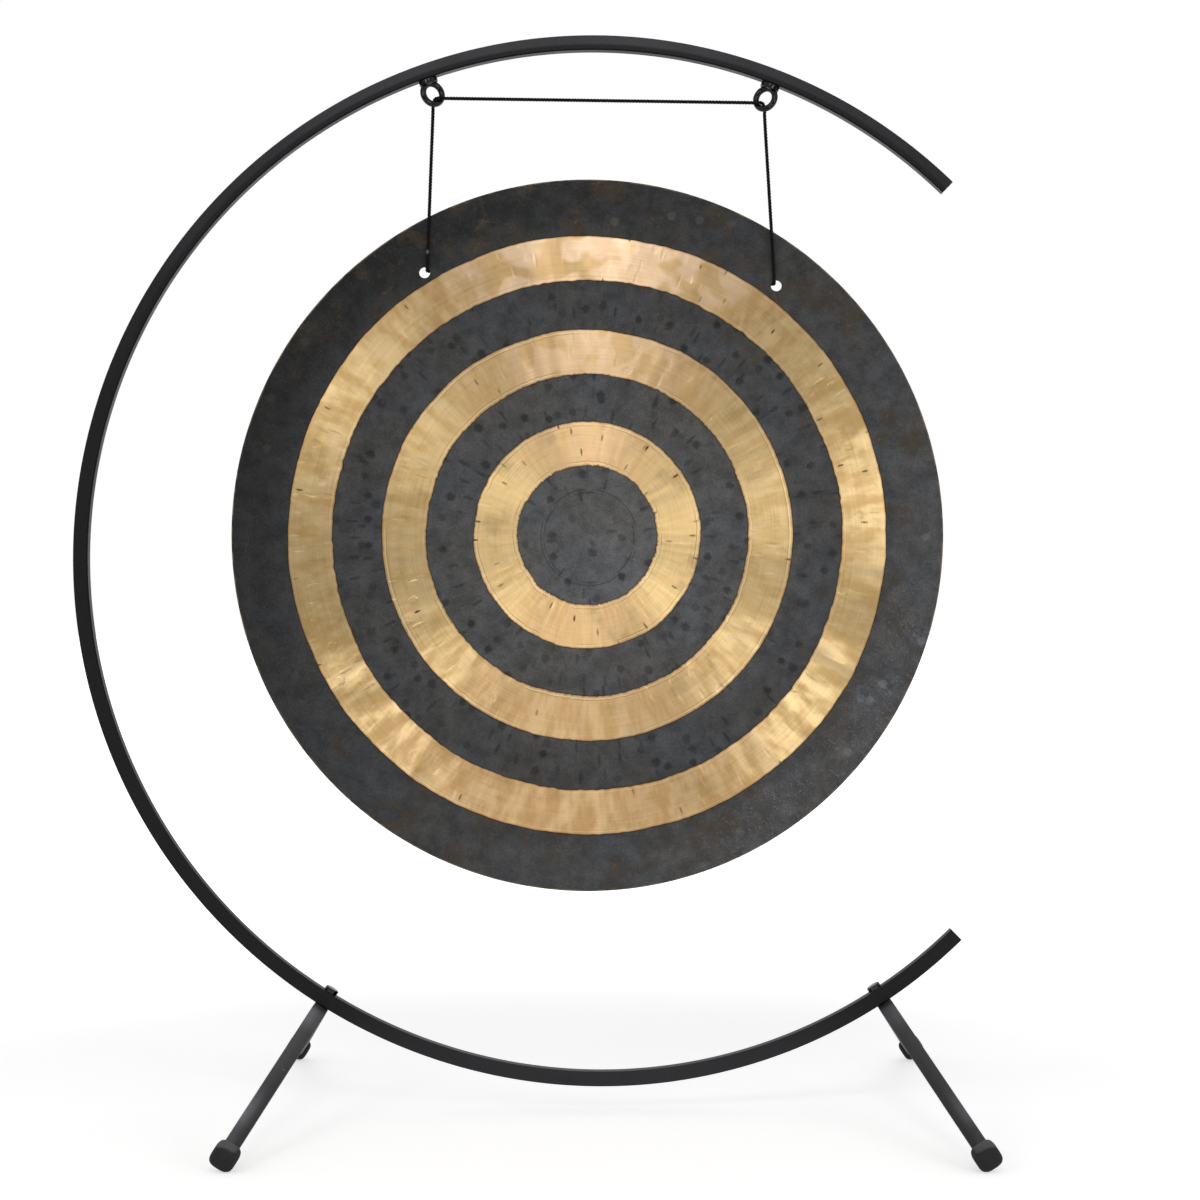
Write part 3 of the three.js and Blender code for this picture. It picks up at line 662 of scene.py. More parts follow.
def build_struck_marks(tree, given):
    """Small marks scattered over a disc. Each one is an oval that points to the disc's middle."""
    place, seed = given["Place"], given["Seed"]
    out = tree.vectors("NORMALIZE", place)
    out_x, out_y, _ = tree.parts(out)
    aside = tree.vector(out_y * -1.0, out_x, 0.0)
    moved = tree.vectors("ADD", place, tree.vector(seed, seed * 0.7, 0.0))
    cell = tree.add("TexVoronoi", {"Vector": moved, "Scale": 1.0 / given["Spacing"]},
                    voronoi_dimensions="2D").outputs
    away = tree.vectors("SUBTRACT", moved, cell["Position"])
    along = tree.vectors("DOT_PRODUCT", away, out) / given["Long"]
    across = tree.vectors("DOT_PRODUCT", away, aside) / given["Wide"]
    ragged = tree.span(tree.noise(moved, 0.45, 2.0), 0.25, 0.75, -0.18, 0.18)
    reach = tree.maths("SQRT", along * along + across * across) + ragged
    chance = tree.add("SeparateColor", {0: cell["Color"]}).outputs
    picked = tree.maths("LESS_THAN", chance[0], given["Share"])
    depth = 0.45 + tree.maths("MULTIPLY", chance[1], 0.55)
    return {"Mask": tree.span(reach, 1.15, 0.45) * (picked * depth)}


struck_marks = make_group("struck_marks", [
    ("Place", "Vector", (0, 0, 0)),
    ("Seed", "Float", 0.0),
    ("Spacing", "Float", 25.0),
    ("Long", "Float", 4.0),
    ("Wide", "Float", 4.0),
    ("Share", "Float", 0.5),
], [("Mask", "Float")], build_struck_marks)


def make_gong_material():
    """Hammered brass. Three bands are turned bright on a lathe, and a dark fired skin lies between them.
    The mesh carries the distance to the nearest band edge in millimetres, positive inside a band. Every
    place and size in here is in millimetres."""
    material, tree, shader = new_material("gong_brass")
    span, mix, shade = tree.span, tree.mix, tree.shade
    place_x, _, place_z = tree.parts(tree.place())
    x, z = place_x * (1 / MM), place_z * (1 / MM)
    radius = tree.maths("SQRT", x * x + z * z)
    safe = tree.most(radius, 1.0)
    round_x, round_z = x / safe, z / safe
    flat = tree.vector(x, z, 0.0)
    edge = tree.attribute("edge")
    bright = span(edge, -0.1, 0.1)
    dark = 1.0 - bright

    def lathed(around, along, detail=2.0, roughness=0.5):
        """Noise in the lathe's lines: how fast it changes around the gong and along its radius."""
        lines = tree.vector(round_x * around, round_z * around, radius * along)
        return tree.noise(lines, 1.0, detail, roughness)

    def marks(seed, spacing, long, wide, share):
        node = tree.add("Group", {}, node_tree=struck_marks)
        tree.fill(node, {"Place": flat, "Seed": seed, "Spacing": spacing, "Long": long, "Wide": wide,
                         "Share": share})
        return Value(tree, node.outputs["Mask"])

    # Lathe lines, fine and coarse, and the hammer's strokes across them
    fine_lines = lathed(2.0, 1.1, 3.0, 0.7)
    coarse_lines = lathed(1.1, 0.22, 2.0, 0.6)
    strokes = lathed(16.0, 0.03, 3.0, 0.6)
    patches = tree.noise(flat, 0.03, 3.0, 0.6)

    # The bright brass: redder at the top and the bottom, and olive in patches; painted light makes the innermost band
    # palest and the outer band a little darker
    gold = mix(span(abs(round_z), 0.6, 0.98), GOLD_SIDE, GOLD_UPRIGHT)
    gold = shade(gold, span(radius, 97.0, 135.0, 1.24, 0.92))
    gold = shade(gold, span(radius, 176.0, 217.0, 1.0, 0.93))
    gold = mix(span(patches, 0.50, 0.70, 0.0, 0.5), gold, GOLD_OLIVE)
    # Painted highlights: pale pink strokes round the top, where the hammered brass mirrors a lamp
    top = span(round_z, 0.80, 0.97)
    pink_highlight = span(lathed(9.0, 0.045, 1.0, 0.4), 0.60, 0.50) * (top * span(radius, 60.0, 240.0, 0.15, 0.56))
    gold = mix(pink_highlight, gold, GOLD_PINK_HIGHLIGHT)
    lines = tree.vary(fine_lines, 0.89, 1.10) + tree.vary(coarse_lines, -0.04, 0.04)
    gold = shade(gold, tree.between(span(patches, 0.35, 0.65, 0.35, 1.0), 1.0, lines))
    # Painted light and shade along the hammer strokes: browner where they are dark, and paler where they are light
    stroke_shading = mix(span(strokes, 0.34, 0.66), STROKE_DARK, STROKE_PALE)
    share = span(radius, 90.0, 220.0, 0.45, 1.0) * span(top, 0.0, 1.0, 1.0, 0.35)
    gold = mix(share, gold, stroke_shading, "MULTIPLY")
    # A scribed line with a burnished one beside it just inside each edge, and a brown one at the edge
    kept = span(radius, 176.0, 218.0, 0.75, 0.25) * span(lathed(2.2, 0.03), 0.38, 0.58)
    scribed = span(edge, 3.0, 3.35) * span(edge, 3.9, 3.5)
    gold = mix(scribed * kept, gold, GOLD_SCRIBED)
    burnished = span(edge, 1.5, 2.2) * span(edge, 3.1, 2.6)
    gold = mix(burnished * (kept * 0.6), gold, GOLD_BURNISHED)
    gold = mix(span(edge, 1.3, 0.1, 0.0, 0.7), gold, GOLD_EDGE)
    dash = marks(311.0, 21.0, 3.4, 1.1, span(radius, 95.0, 130.0, 0.5, 0.11))
    gold = mix(dash, gold, GOLD_DASH)

    # The fired skin: greyer in the middle, darker outwards, and lighter at the outer lower right, partly its own tone
    # and partly painted light and shade
    levels = tree.add("ValToRGB", {0: radius / GONG_RADIUS})
    ramp = levels.color_ramp
    while len(ramp.elements) < len(SKIN_LEVELS):
        ramp.elements.new(0.5)
    for element, (share, value) in zip(ramp.elements, SKIN_LEVELS):
        element.position = share
        element.color = (value, value, value, 1)
    lean = round_x * 0.80 + round_z * -0.60
    level = Value(tree, levels.outputs[0]) * (1.0 + lean * span(radius, 236.0, 285.0, 0.14, 1.0) * 0.66)
    mottle = tree.noise(flat, 0.06, 5.0, 0.7)
    grit = tree.noise(flat, 0.55, 4.0, 0.75)
    level = level * tree.vary(mottle, 0.72, 1.27) * span(grit, 0.25, 0.75, 0.76, 1.24)
    cold = span(tree.noise(flat, 0.014, 2.0), 0.38, 0.62)
    skin = shade(mix(cold, SKIN_WARM, SKIN_COLD), level)
    # Brown bloom and orange flecks, most of them near the rim and fewest on the left
    side = tree.most(round_x, abs(round_z))
    where = span(radius, 170.0, 270.0, 0.35, 1.25) * span(side, 0.3, 0.95, 0.2, 1.2)
    bloom = span(tree.noise(flat, 0.026, 5.0, 0.7), 0.50, 0.62) * where
    skin = mix(bloom * 0.40, skin, SKIN_BLOOM)
    fleck = span(tree.noise(flat, 0.14, 5.0, 0.8), 0.56, 0.68) * bloom
    skin = mix(fleck * 0.75, skin, SKIN_FLECK)
    # Hammer marks: dark round ones, dark strokes that point to the middle, and pale ones near the rim
    inner = span(radius, 262.0, 246.0)
    rim = span(radius, 262.0, 268.0)
    dots = tree.most(marks(17.0, 22.0, 4.2, 3.8, 0.5), marks(131.0, 31.0, 4.9, 4.4, 0.45))
    scars = tree.most(marks(59.0, 18.0, 6.5, 1.6, 0.42), marks(223.0, 27.0, 5.5, 2.2, 0.45))
    dents = tree.most(dots, scars * 0.75) * inner
    skin = shade(skin, 1.0 - dents * 0.64)
    pale = marks(401.0, 30.0, 4.6, 4.6, 0.22) * rim
    for spot_x, spot_z in PALE_DENTS:
        away = tree.vectors("DISTANCE", flat, (spot_x, spot_z, 0.0))
        pale = tree.most(pale, span(away, 4.6, 2.6))
    skin = shade(skin, 1.0 + pale * 0.75)
    # Pale scratches at the outer lower right and a few elsewhere
    bent = tree.vectors("ADD", flat, tree.vector(mottle * 70.0, mottle * -50.0, 0.0))
    hair = abs(tree.noise(bent, 0.05, 3.0, 0.7) - 0.5)
    hair = span(hair, 0.016, 0.004) * span(grit, 0.42, 0.6)
    hair = tree.maths("MULTIPLY", hair, span(lean, 0.80, 0.97) * rim + 0.12, clamp=True)
    skin = mix(hair * 0.8, skin, SKIN_SCRATCH)
    # A scribed circle round the middle, a little off centre, drawn twice in places
    off_x, off_z = x - 1.5, z + 2.0
    scribe = tree.maths("SQRT", off_x * off_x + off_z * off_z)
    first = span(abs(scribe - 38.5), 0.9, 0.2) * span(tree.noise(flat, 0.05, 2.0), 0.36, 0.55)
    second = span(abs(scribe - 41.0), 0.8, 0.2) * span(tree.noise(flat, 0.04, 2.0), 0.58, 0.48)
    skin = shade(skin, 1.0 - tree.most(first, second) * 0.40)
    # The skin is darkest right beside a band, and the worn rim shows brass
    skin = shade(skin, span(edge, -1.3, -0.1, 1.0, 0.45))
    worn = span(radius, 303.4, 304.6) * span(lathed(30.0, 0.1, 3.0), 0.40, 0.60)
    skin = mix(worn * 0.8, skin, RIM_BRASS)

    gold_rough = span(strokes, 0.35, 0.65, 0.36, 0.29) + dash * 0.3
    skin_rough = tree.vary(mottle, 0.62, 0.50) - dents * 0.08
    relief = coarse_lines * bright * 0.012 + grit * dark * 0.035 - dents * 0.09 - pale * 0.12
    tree.fill(shader, {
        "Base Color": mix(bright, skin, gold),
        "Roughness": tree.between(bright, skin_rough, gold_rough),
        "Metallic": tree.most(bright * (1.0 - dash * 0.7), worn * 0.6),
        "Normal": tree.bump(relief, 1.0, MM),
        "Tangent": tree.read("Tangent", 0, direction_type="RADIAL", axis="Y"),
        "Anisotropic": 0.8,
        "Anisotropic Rotation": 0.25,
        "Specular IOR Level": 0.15,
    })
    return material


gong_brass = make_gong_material()


# Meshes

def new_piece(name, points, faces, material, sharp=SHARP, even=True):
    """A mesh piece in the row frame. Points are in millimetres."""
    mesh = bpy.data.meshes.new(name)
    mesh.from_pydata([tuple(c * MM for c in point) for point in points], [], faces)
    mesh.validate()
    piece = new_object(name, mesh)
    mesh.materials.append(material)
    soften(piece, sharp, even)
    slot = material.name.partition(".")[0]  # the frame has the name too, so Blender adds a number to it
    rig.slot(piece, slot)
    return piece


def carry(piece, name, values):
    """Gives a value to every point of a piece for its material to read."""
    attribute = piece.data.attributes.new(name, "FLOAT", "POINT")
    attribute.data.foreach_set("value", np.array(values, np.float32))


def soften(piece, sharp=SHARP, even=True):
    """Smooth shading with sharp edges kept, and flats that stay flat."""
    piece.data.shade_smooth()
    piece.data.set_sharp_from_angle(angle=math.radians(sharp))
    if even:
        weigh = piece.modifiers.new("even", "WEIGHTED_NORMAL")
        weigh.keep_sharp = True
        weigh.weight = FLAT_WEIGHT


def outward(piece):
    """Turns every face to look out of the piece."""
    shape = bmesh.new()
    shape.from_mesh(piece.data)
    bmesh.ops.recalc_face_normals(shape, faces=shape.faces)
    shape.to_mesh(piece.data)
    shape.free()


def combined(piece, others, operation="DIFFERENCE"):
    """Cuts the others out of a piece, adds them to it, or keeps what they share. The others are used up."""
    for each in (*others, piece):
        outward(each)
        each.modifiers.clear()
    for number, other in enumerate(others):
        change = piece.modifiers.new(f"change_{number}", "BOOLEAN")
        change.operation = operation
        change.object = other
        change.solver = "EXACT"
    bpy.context.view_layer.update()
    made = bpy.data.meshes.new_from_object(piece.evaluated_get(bpy.context.evaluated_depsgraph_get()))
    piece.modifiers.clear()
    made.name = piece.name
    piece.data = made
    for other in others:
        bpy.data.objects.remove(other)
    soften(piece)
    return piece


def skin_faces(rings, length, closed_ends=True):
    """Quads between rings of points, and a flat face on each end."""
    faces = []
    for ring in range(rings - 1):
        for step in range(length):
            after = (step + 1) % length
            faces.append((ring * length + step, ring * length + after,
                          (ring + 1) * length + after, (ring + 1) * length + step))
    if closed_ends:
        faces.append(tuple(reversed(range(length))))
        faces.append(tuple((rings - 1) * length + step for step in range(length)))
    return faces


def loop_faces(rings, length, shift=0):
    """Quads between rings of points in a closed loop. The last ring meets the first, turned by a shift."""
    faces = skin_faces(rings, length, False)
    last = (rings - 1) * length
    for step in range(length):
        after = (step + 1) % length
        faces.append((last + step, last + after, (after + shift) % length, (step + shift) % length))
    return faces


def shifted(faces, start):
    """Faces whose points are counted from a later one."""
    return [tuple(start + i for i in face) for face in faces]


def square_section(width, radius, steps=4):
    """The points of a square with round corners, anticlockwise."""
    inner = width / 2 - radius
    section = []
    for corner, (across, up) in enumerate([(1, 1), (-1, 1), (-1, -1), (1, -1)]):
        for step in range(steps + 1):
            turn = math.pi / 2 * (corner + step / steps)
            section.append((across * inner + radius * math.cos(turn), up * inner + radius * math.sin(turn)))
    return section


def bulged_section(half, squareness, sides=48):
    """A square whose sides swell and whose corners are round. It gets squarer with its squareness."""
    section = []
    for s in range(sides):
        turn = 2 * math.pi * (s + 0.5) / sides
        a, b = math.cos(turn), math.sin(turn)
        reach = half / (abs(a) ** squareness + abs(b) ** squareness) ** (1 / squareness)
        section.append((reach * a, reach * b))
    return section


def round_section(radius, sides):
    return [(radius * math.cos(2 * math.pi * s / sides), radius * math.sin(2 * math.pi * s / sides))
            for s in range(sides)]


def lathe_points(profile, sides):
    """Points and faces of a turned shape about Z. The profile starts and ends on the axis."""
    points = [(0, 0, profile[0][1])]
    for radius, height in profile[1:-1]:
        points += [(a, b, height) for a, b in round_section(radius, sides)]
    points.append((0, 0, profile[-1][1]))
    end = len(points) - 1
    faces = [(0, 1 + (s + 1) % sides, 1 + s) for s in range(sides)]
    faces += shifted(skin_faces(len(profile) - 2, sides, False), 1)
    faces += [(end, end - sides + s, end - sides + (s + 1) % sides) for s in range(sides)]
    return points, faces


def placed(points, seat):
    """Points of a seat's frame, in the row frame."""
    return [tuple(seat @ Vector(point)) for point in points]


def turned_piece(name, profile, sides, seat, material):
    """A piece turned about the Z axis of its seat."""
    points, faces = lathe_points(profile, sides)
    return new_piece(name, placed(points, seat), faces, material)


def drill(seat, low, high, material):
    """A cutter for a bolt's hole, along the Z axis of its seat."""
    wide = BOLT_RADIUS + GAP
    profile = [(0, low), (wide, low), (wide, high), (0, high)]
    return turned_piece("drill", profile, DRILL_SIDES, seat, material)


# The ring

def ring_outer(angle):
    turn = math.pi / 2 - angle
    share = 1
    for wave, (cosine, sine) in enumerate(RING_SAG, 1):
        share += cosine * math.cos(wave * turn) + sine * math.sin(wave * turn)
    return RING_RADIUS * share


def ring_facing(angle):
    nudge = RING_SWEEP / 120
    rise = ring_outer(angle + nudge) - ring_outer(angle - nudge)
    return angle - math.atan(rise / (2 * nudge * ring_outer(angle)))


def ring_place(angle, depth, across):
    facing = ring_facing(angle)
    outer = ring_outer(angle)
    return (RING_CENTRE[0] + outer * math.sin(angle) - depth * math.sin(facing), across,
            RING_CENTRE[1] + outer * math.cos(angle) - depth * math.cos(facing))


def ring_seat(angle):
    """A frame on the ring's outer face, with +Z straight out of it, in millimetres."""
    place = ring_place(angle, 0, 0)
    return Matrix.Translation(place) @ Matrix.Rotation(ring_facing(angle), 4, "Y")


def make_ring():
    section = square_section(BAR, BAR_EDGE)
    reach = RING_RADIUS * RING_SWEEP
    stations = [(along / reach, smaller) for along, smaller in SAWN_END]
    stations += [(step / RING_STEPS, 0.0) for step in range(1, RING_STEPS)]
    stations += [(1 - along / reach, smaller) for along, smaller in reversed(SAWN_END)]
    points, depths = [], []
    for share, smaller in stations:
        angle = RING_START + RING_SWEEP * share
        shrink = 1 - 2 * smaller / BAR
        points += [ring_place(angle, BAR / 2 - out * shrink, across * shrink) for out, across in section]
        depths += [BAR / 2 - out for out, across in section]
    ring = new_piece("ring_bar_fine", points, skin_faces(len(stations), len(section)), ring_paint)
    carry(ring, "depth", depths)
    drills = []
    for label in ("left", "right"):
        for angle, end in ((EYE_ANGLES[label], EYE_SHANK_END + GAP), (FOOT_ANGLES[label], DRILL_PAST)):
            drills.append(drill(ring_seat(angle), -BAR - DRILL_PAST, end, ring_paint))
    combined(ring, drills)
    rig.replaces(ring, "ring_bar")
    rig.ride(ring, "stand")


# The eye bolts

def make_eye(label, side):
    seat = ring_seat(EYE_ANGLES[label])
    top = -BAR - GAP
    foot = top - EYE_COLLAR_HEIGHT
    profile = [(0, foot)]
    profile += [(EYE_COLLAR + out, foot + up) for out, up in EYE_COLLAR_FOOT]
    profile += [(EYE_COLLAR + out, top + up) for out, up in EYE_COLLAR_TOP]
    profile += [(BOLT_RADIUS, top), (BOLT_RADIUS, EYE_SHANK_END - SHANK_CHAMFER),
                (BOLT_RADIUS - SHANK_CHAMFER, EYE_SHANK_END), (0, EYE_SHANK_END)]
    eye = turned_piece(f"eye_bolt_{label}_fine", profile, 48, seat, eye_paint)
    turn = Matrix.Rotation(-side * EYE_TURN, 4, "Z") @ Matrix.Translation((0, 0, -BAR - EYE_HANG))
    loop = []
    steps = 96
    wire = round_section(EYE_WIRE, 24)
    for step in range(steps):
        angle = 2 * math.pi * step / steps
        for out, across in wire:
            reach = EYE_LOOP + out
            loop.append((reach * math.cos(angle), across, reach * math.sin(angle)))
    wire_loop = new_piece("loop", placed(placed(loop, turn), seat), loop_faces(steps, len(wire)), eye_paint)
    combined(eye, [wire_loop], "UNION")
    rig.replaces(eye, f"eye_bolt_{label}")
    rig.ride(eye, "stand")


# The feet

def foot_path(slope):
    """Half of a foot's middle line: how far along, how far out from the level stretch, and its slope."""
    line = [(0.0, 0.0, 0.0), (FOOT_FLAT / 2, 0.0, 0.0)]
    for step in range(FOOT_BEND_STEPS + 1):
        turn = slope * step / FOOT_BEND_STEPS
        line.append((FOOT_FLAT + FOOT_BEND * math.sin(turn), FOOT_BEND * (1 - math.cos(turn)), turn))
    along, out, _ = line[-1]
    run = FOOT_REACH - along
    for share in (0.1, 0.3, 0.5, 0.7, 0.9, 0.998, 1.0):
        line.append((along + run * share, out + run * share * math.tan(slope), slope))
    return line


def make_foot(label):
    seat = ring_seat(FOOT_ANGLES[label])
    half = foot_path(FOOT_SLOPES[label])
    line = [(-along, out, -turn) for along, out, turn in reversed(half[1:])] + half
    section = square_section(BAR, BAR_EDGE)
    upper_side = 1 if label == "left" else -1
    points, upper = [], []
    for number, (along, out, turn) in enumerate(line):
        shrink = 1 - (FOOT_END_SHRINK if number in (0, len(line) - 1) else 0)
        for up, across in section:
            upper.append(upper_side * across)
            points.append((across * shrink, along - up * shrink * math.sin(turn),
                           FOOT_MIDDLE + out + up * shrink * math.cos(turn)))
    foot = new_piece(f"foot_bar_{label}_fine", placed(points, seat), skin_faces(len(line), len(section)),
                     foot_paint)
    carry(foot, "upper", upper)
    combined(foot, [drill(seat, FOOT_MIDDLE - BAR, FOOT_MIDDLE + BAR, foot_paint)])
    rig.replaces(foot, f"foot_bar_{label}")
    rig.ride(foot, f"foot_{label}")


def leg_drop(slope):
    run = FOOT_REACH - FOOT_FLAT - FOOT_BEND * math.sin(slope)
    return run * math.tan(slope) + FOOT_BEND * (1 - math.cos(slope))


def make_cap(label, end, side):
    """A rubber cap pushed onto a leg. Its skin runs from the middle of its tip round the lip into its
    socket. It stands on the floor on a small flat."""
    slope = FOOT_SLOPES[label]
    beyond = CAP_LENGTH / 2 - CAP_SOCKET + GAP
    middle = (0, side * (FOOT_REACH + beyond * math.cos(slope)),
              FOOT_MIDDLE + leg_drop(slope) + beyond * math.sin(slope))
    seat = ring_seat(FOOT_ANGLES[label]) @ Matrix.Translation(middle) @ Matrix.Rotation(side * slope, 4, "X")
    tip = CAP_LENGTH / 2
    wide = CAP_WIDTH / 2 + CAP_SWELL
    socket = BAR / 2 + GAP
    round_long, round_wide, behind = CAP_ROUND
    stations = list(CAP_TIP)
    for step in range(1, CAP_ROUND_STEPS + 1):
        turn = math.pi / 2 * step / CAP_ROUND_STEPS
        stations.append((tip - behind - round_long * (1 - math.cos(turn)),
                         wide - round_wide * (1 - math.sin(turn)), 2.4 + math.sin(turn)))
    stations += [(along, wide - inwards, squareness) for along, inwards, squareness in CAP_SIDE]
    stations += [(-tip, socket + GAP / 2, CAP_SOCKET_SQUARE), (-tip + GAP, socket, CAP_SOCKET_SQUARE),
                 (CAP_SOCKET - tip, socket, CAP_SOCKET_SQUARE), (CAP_SOCKET - tip, *CAP_MIDDLE)]
    points = []
    for along, half, squareness in stations:
        points += [(across, side * along, up) for across, up in bulged_section(half, squareness)]
    cap = new_piece(f"rubber_cap_{end}_{label}_fine", placed(points, seat),
                    skin_faces(len(stations), len(points) // len(stations)), cap_rubber)
    for vertex in cap.data.vertices:
        vertex.co.z = max(vertex.co.z, 0.0)
    outward(cap)
    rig.replaces(cap, f"rubber_cap_{end}_{label}")
    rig.ride(cap, f"foot_{label}")


# The foot bolts, spring washers and nuts

def hexagon(name, seat, across, low, high, chamfer_high):
    """A six-sided block whose corners are cut back to a cone at its low end, and at the high one if asked."""
    corner = across / math.sqrt(3)
    points = [(a, b, height) for height in (low, high) for a, b in round_section(corner, 6)]
    block = new_piece(name, placed(points, seat), skin_faces(2, 6), bolt_black)
    wide = corner + 1
    flat = across * HEX_FLAT_SHARE
    drop = (wide - flat) * math.tan(math.radians(30))
    profile = [(0, low), (flat, low), (wide, low + drop)]
    profile += [(wide, high - drop), (flat, high)] if chamfer_high else [(wide, high)]
    profile.append((0, high))
    return combined(block, [turned_piece("cone", profile, 72, seat, bolt_black)], "INTERSECT")


def threaded_rod(name, seat, low, high, plain):
    """A rod with a screw thread above a plain stretch. The thread's crest winds round as it climbs."""
    pitch, deep, sides, steps, chamfer = 1.0, 0.3, 36, 10, 0.5
    count = int((high - plain) / pitch * steps)
    heights = [low, plain] + [plain + (high - plain) * (n + 1) / count for n in range(count)]
    points = []
    for height in heights:
        fade = min(1.0, max(0.0, (height - plain) / pitch))
        taper = max(0.0, height - (high - chamfer))
        for s, (a, b) in enumerate(round_section(1, sides)):
            wave = abs(((height / pitch - s / sides) % 1) * 2 - 1)
            radius = BOLT_RADIUS - deep * fade * wave - taper
            points.append((radius * a, radius * b, height))
    return new_piece(name, placed(points, seat), skin_faces(len(heights), sides), bolt_black)


def make_bolt(label):
    seat = ring_seat(FOOT_ANGLES[label])
    top = -BAR - GAP
    washer = FOOT_MIDDLE + BAR / 2 + GAP
    nut = washer + WASHER_HEIGHT + GAP
    nut_top = nut + NUT_HEIGHT
    head = hexagon(f"foot_bolt_{label}_fine", seat, HEAD_ACROSS, top - HEAD_HEIGHT, top, False)
    rod = threaded_rod("rod", seat, top - HEAD_HEIGHT / 2, nut_top + BOLT_END, washer - 2)
    combined(head, [rod], "UNION")
    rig.replaces(head, f"foot_bolt_{label}")
    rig.ride(head, "stand")

    block = hexagon(f"foot_nut_{label}_fine", seat, HEAD_ACROSS, nut, nut_top, True)
    inner = BOLT_RADIUS + GAP
    past = 1
    bore = [(0, nut - past), (inner + past, nut - past), (inner + NUT_CHAMFER, nut),
            (inner, nut + NUT_CHAMFER), (inner, nut_top - NUT_CHAMFER), (inner + NUT_CHAMFER, nut_top),
            (inner + past, nut_top + past), (0, nut_top + past)]
    combined(block, [turned_piece("bore", bore, 36, seat, bolt_black)])
    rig.replaces(block, f"foot_nut_{label}")
    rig.ride(block, "stand")

    # The spring washer, one turn of square wire with its ends a little apart
    wire = WASHER_RADIUS - inner
    middle = (WASHER_RADIUS + inner) / 2
    tall = WASHER_HEIGHT - WASHER_SPREAD
    section = [(a * wire / BAR, b * tall / BAR) for a, b in square_section(BAR, 1.2, 2)]
    points = []
    steps = 60
    for step in range(steps + 1):
        share = step / steps
        turn = WASHER_SLIT / 2 + (2 * math.pi - WASHER_SLIT) * share
        lift = washer + WASHER_HEIGHT / 2 + WASHER_SPREAD * (share - 0.5)
        for a, b in section:
            points.append(((middle + a) * math.cos(turn), (middle + a) * math.sin(turn), lift + b))
    spring = new_piece(f"foot_spring_washer_{label}_fine", placed(points, seat),
                       skin_faces(steps + 1, len(section)), bolt_black)
    outward(spring)
    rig.replaces(spring, f"foot_spring_washer_{label}")
    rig.ride(spring, "stand")


# The gong

def gong_face(radius):
    return -GONG_DOME * (1 - (radius / GONG_RADIUS) ** 2)


def wander(angle, seed, slow, quick):
    """How far a hand-cut band edge strays at an angle, in slow, middling and quick waves."""
    strayed = 0
    for (turns, offset), height in zip(EDGE_WAVES, (slow, slow * 0.6, quick)):
        place = (math.cos(angle) * turns, math.sin(angle) * turns, seed + offset)
        strayed += height * noise.noise(Vector(place))
    return strayed


def hammered(radius, angle):
    """The height of the hammered sheet over the smooth dome. The strokes are deeper towards the rim."""
    a, b = math.cos(angle), math.sin(angle)
    out = radius / GONG_RADIUS

    def swell(name):
        size, seed = HAMMER_SIZES[name]
        return noise.noise(Vector((radius * a / size, radius * b / size, seed)))

    strokes = noise.noise(Vector((a * STROKES_ROUND, b * STROKES_ROUND, radius / STROKE_LENGTH)))
    patchy = HAMMER_PATCHES[0] + HAMMER_PATCHES[1] * abs(swell("patches"))
    height = HAMMER_BROAD * swell("broad")
    for (low, more), pattern in ((HAMMER_WAVES, swell("waves")), (HAMMER_STROKES, strokes)):
        height += patchy * (low + more * out) * pattern
    return min(1.0, radius / CALM_MIDDLE) * height


def spaced(start, stop, step):
    places = []
    while start < stop:
        places.append(start)
        start += step
    return places


def gong_stations():
    """What each ring of points on the front follows, from the middle to the rim. It is a radius, or beside a
    band's edge (which edge, its radius, offset)."""
    stations = []
    radius = FIRST_RING
    for inner, outer in BANDS:
        stations += spaced(radius, inner - SKIN_MARGINS[1], SKIN_STEP)
        stations += [("inner", inner, offset) for offset in EDGE_OFFSETS]
        stations += spaced(inner + BAND_MARGINS[0], outer - BAND_MARGINS[1], BAND_STEP)
        stations += [("outer", outer, -offset) for offset in reversed(EDGE_OFFSETS)]
        radius = outer + SKIN_MARGINS[0]
    return stations + spaced(radius, GONG_RADIUS - RIM_MARGIN, SKIN_STEP) + RIM_RINGS


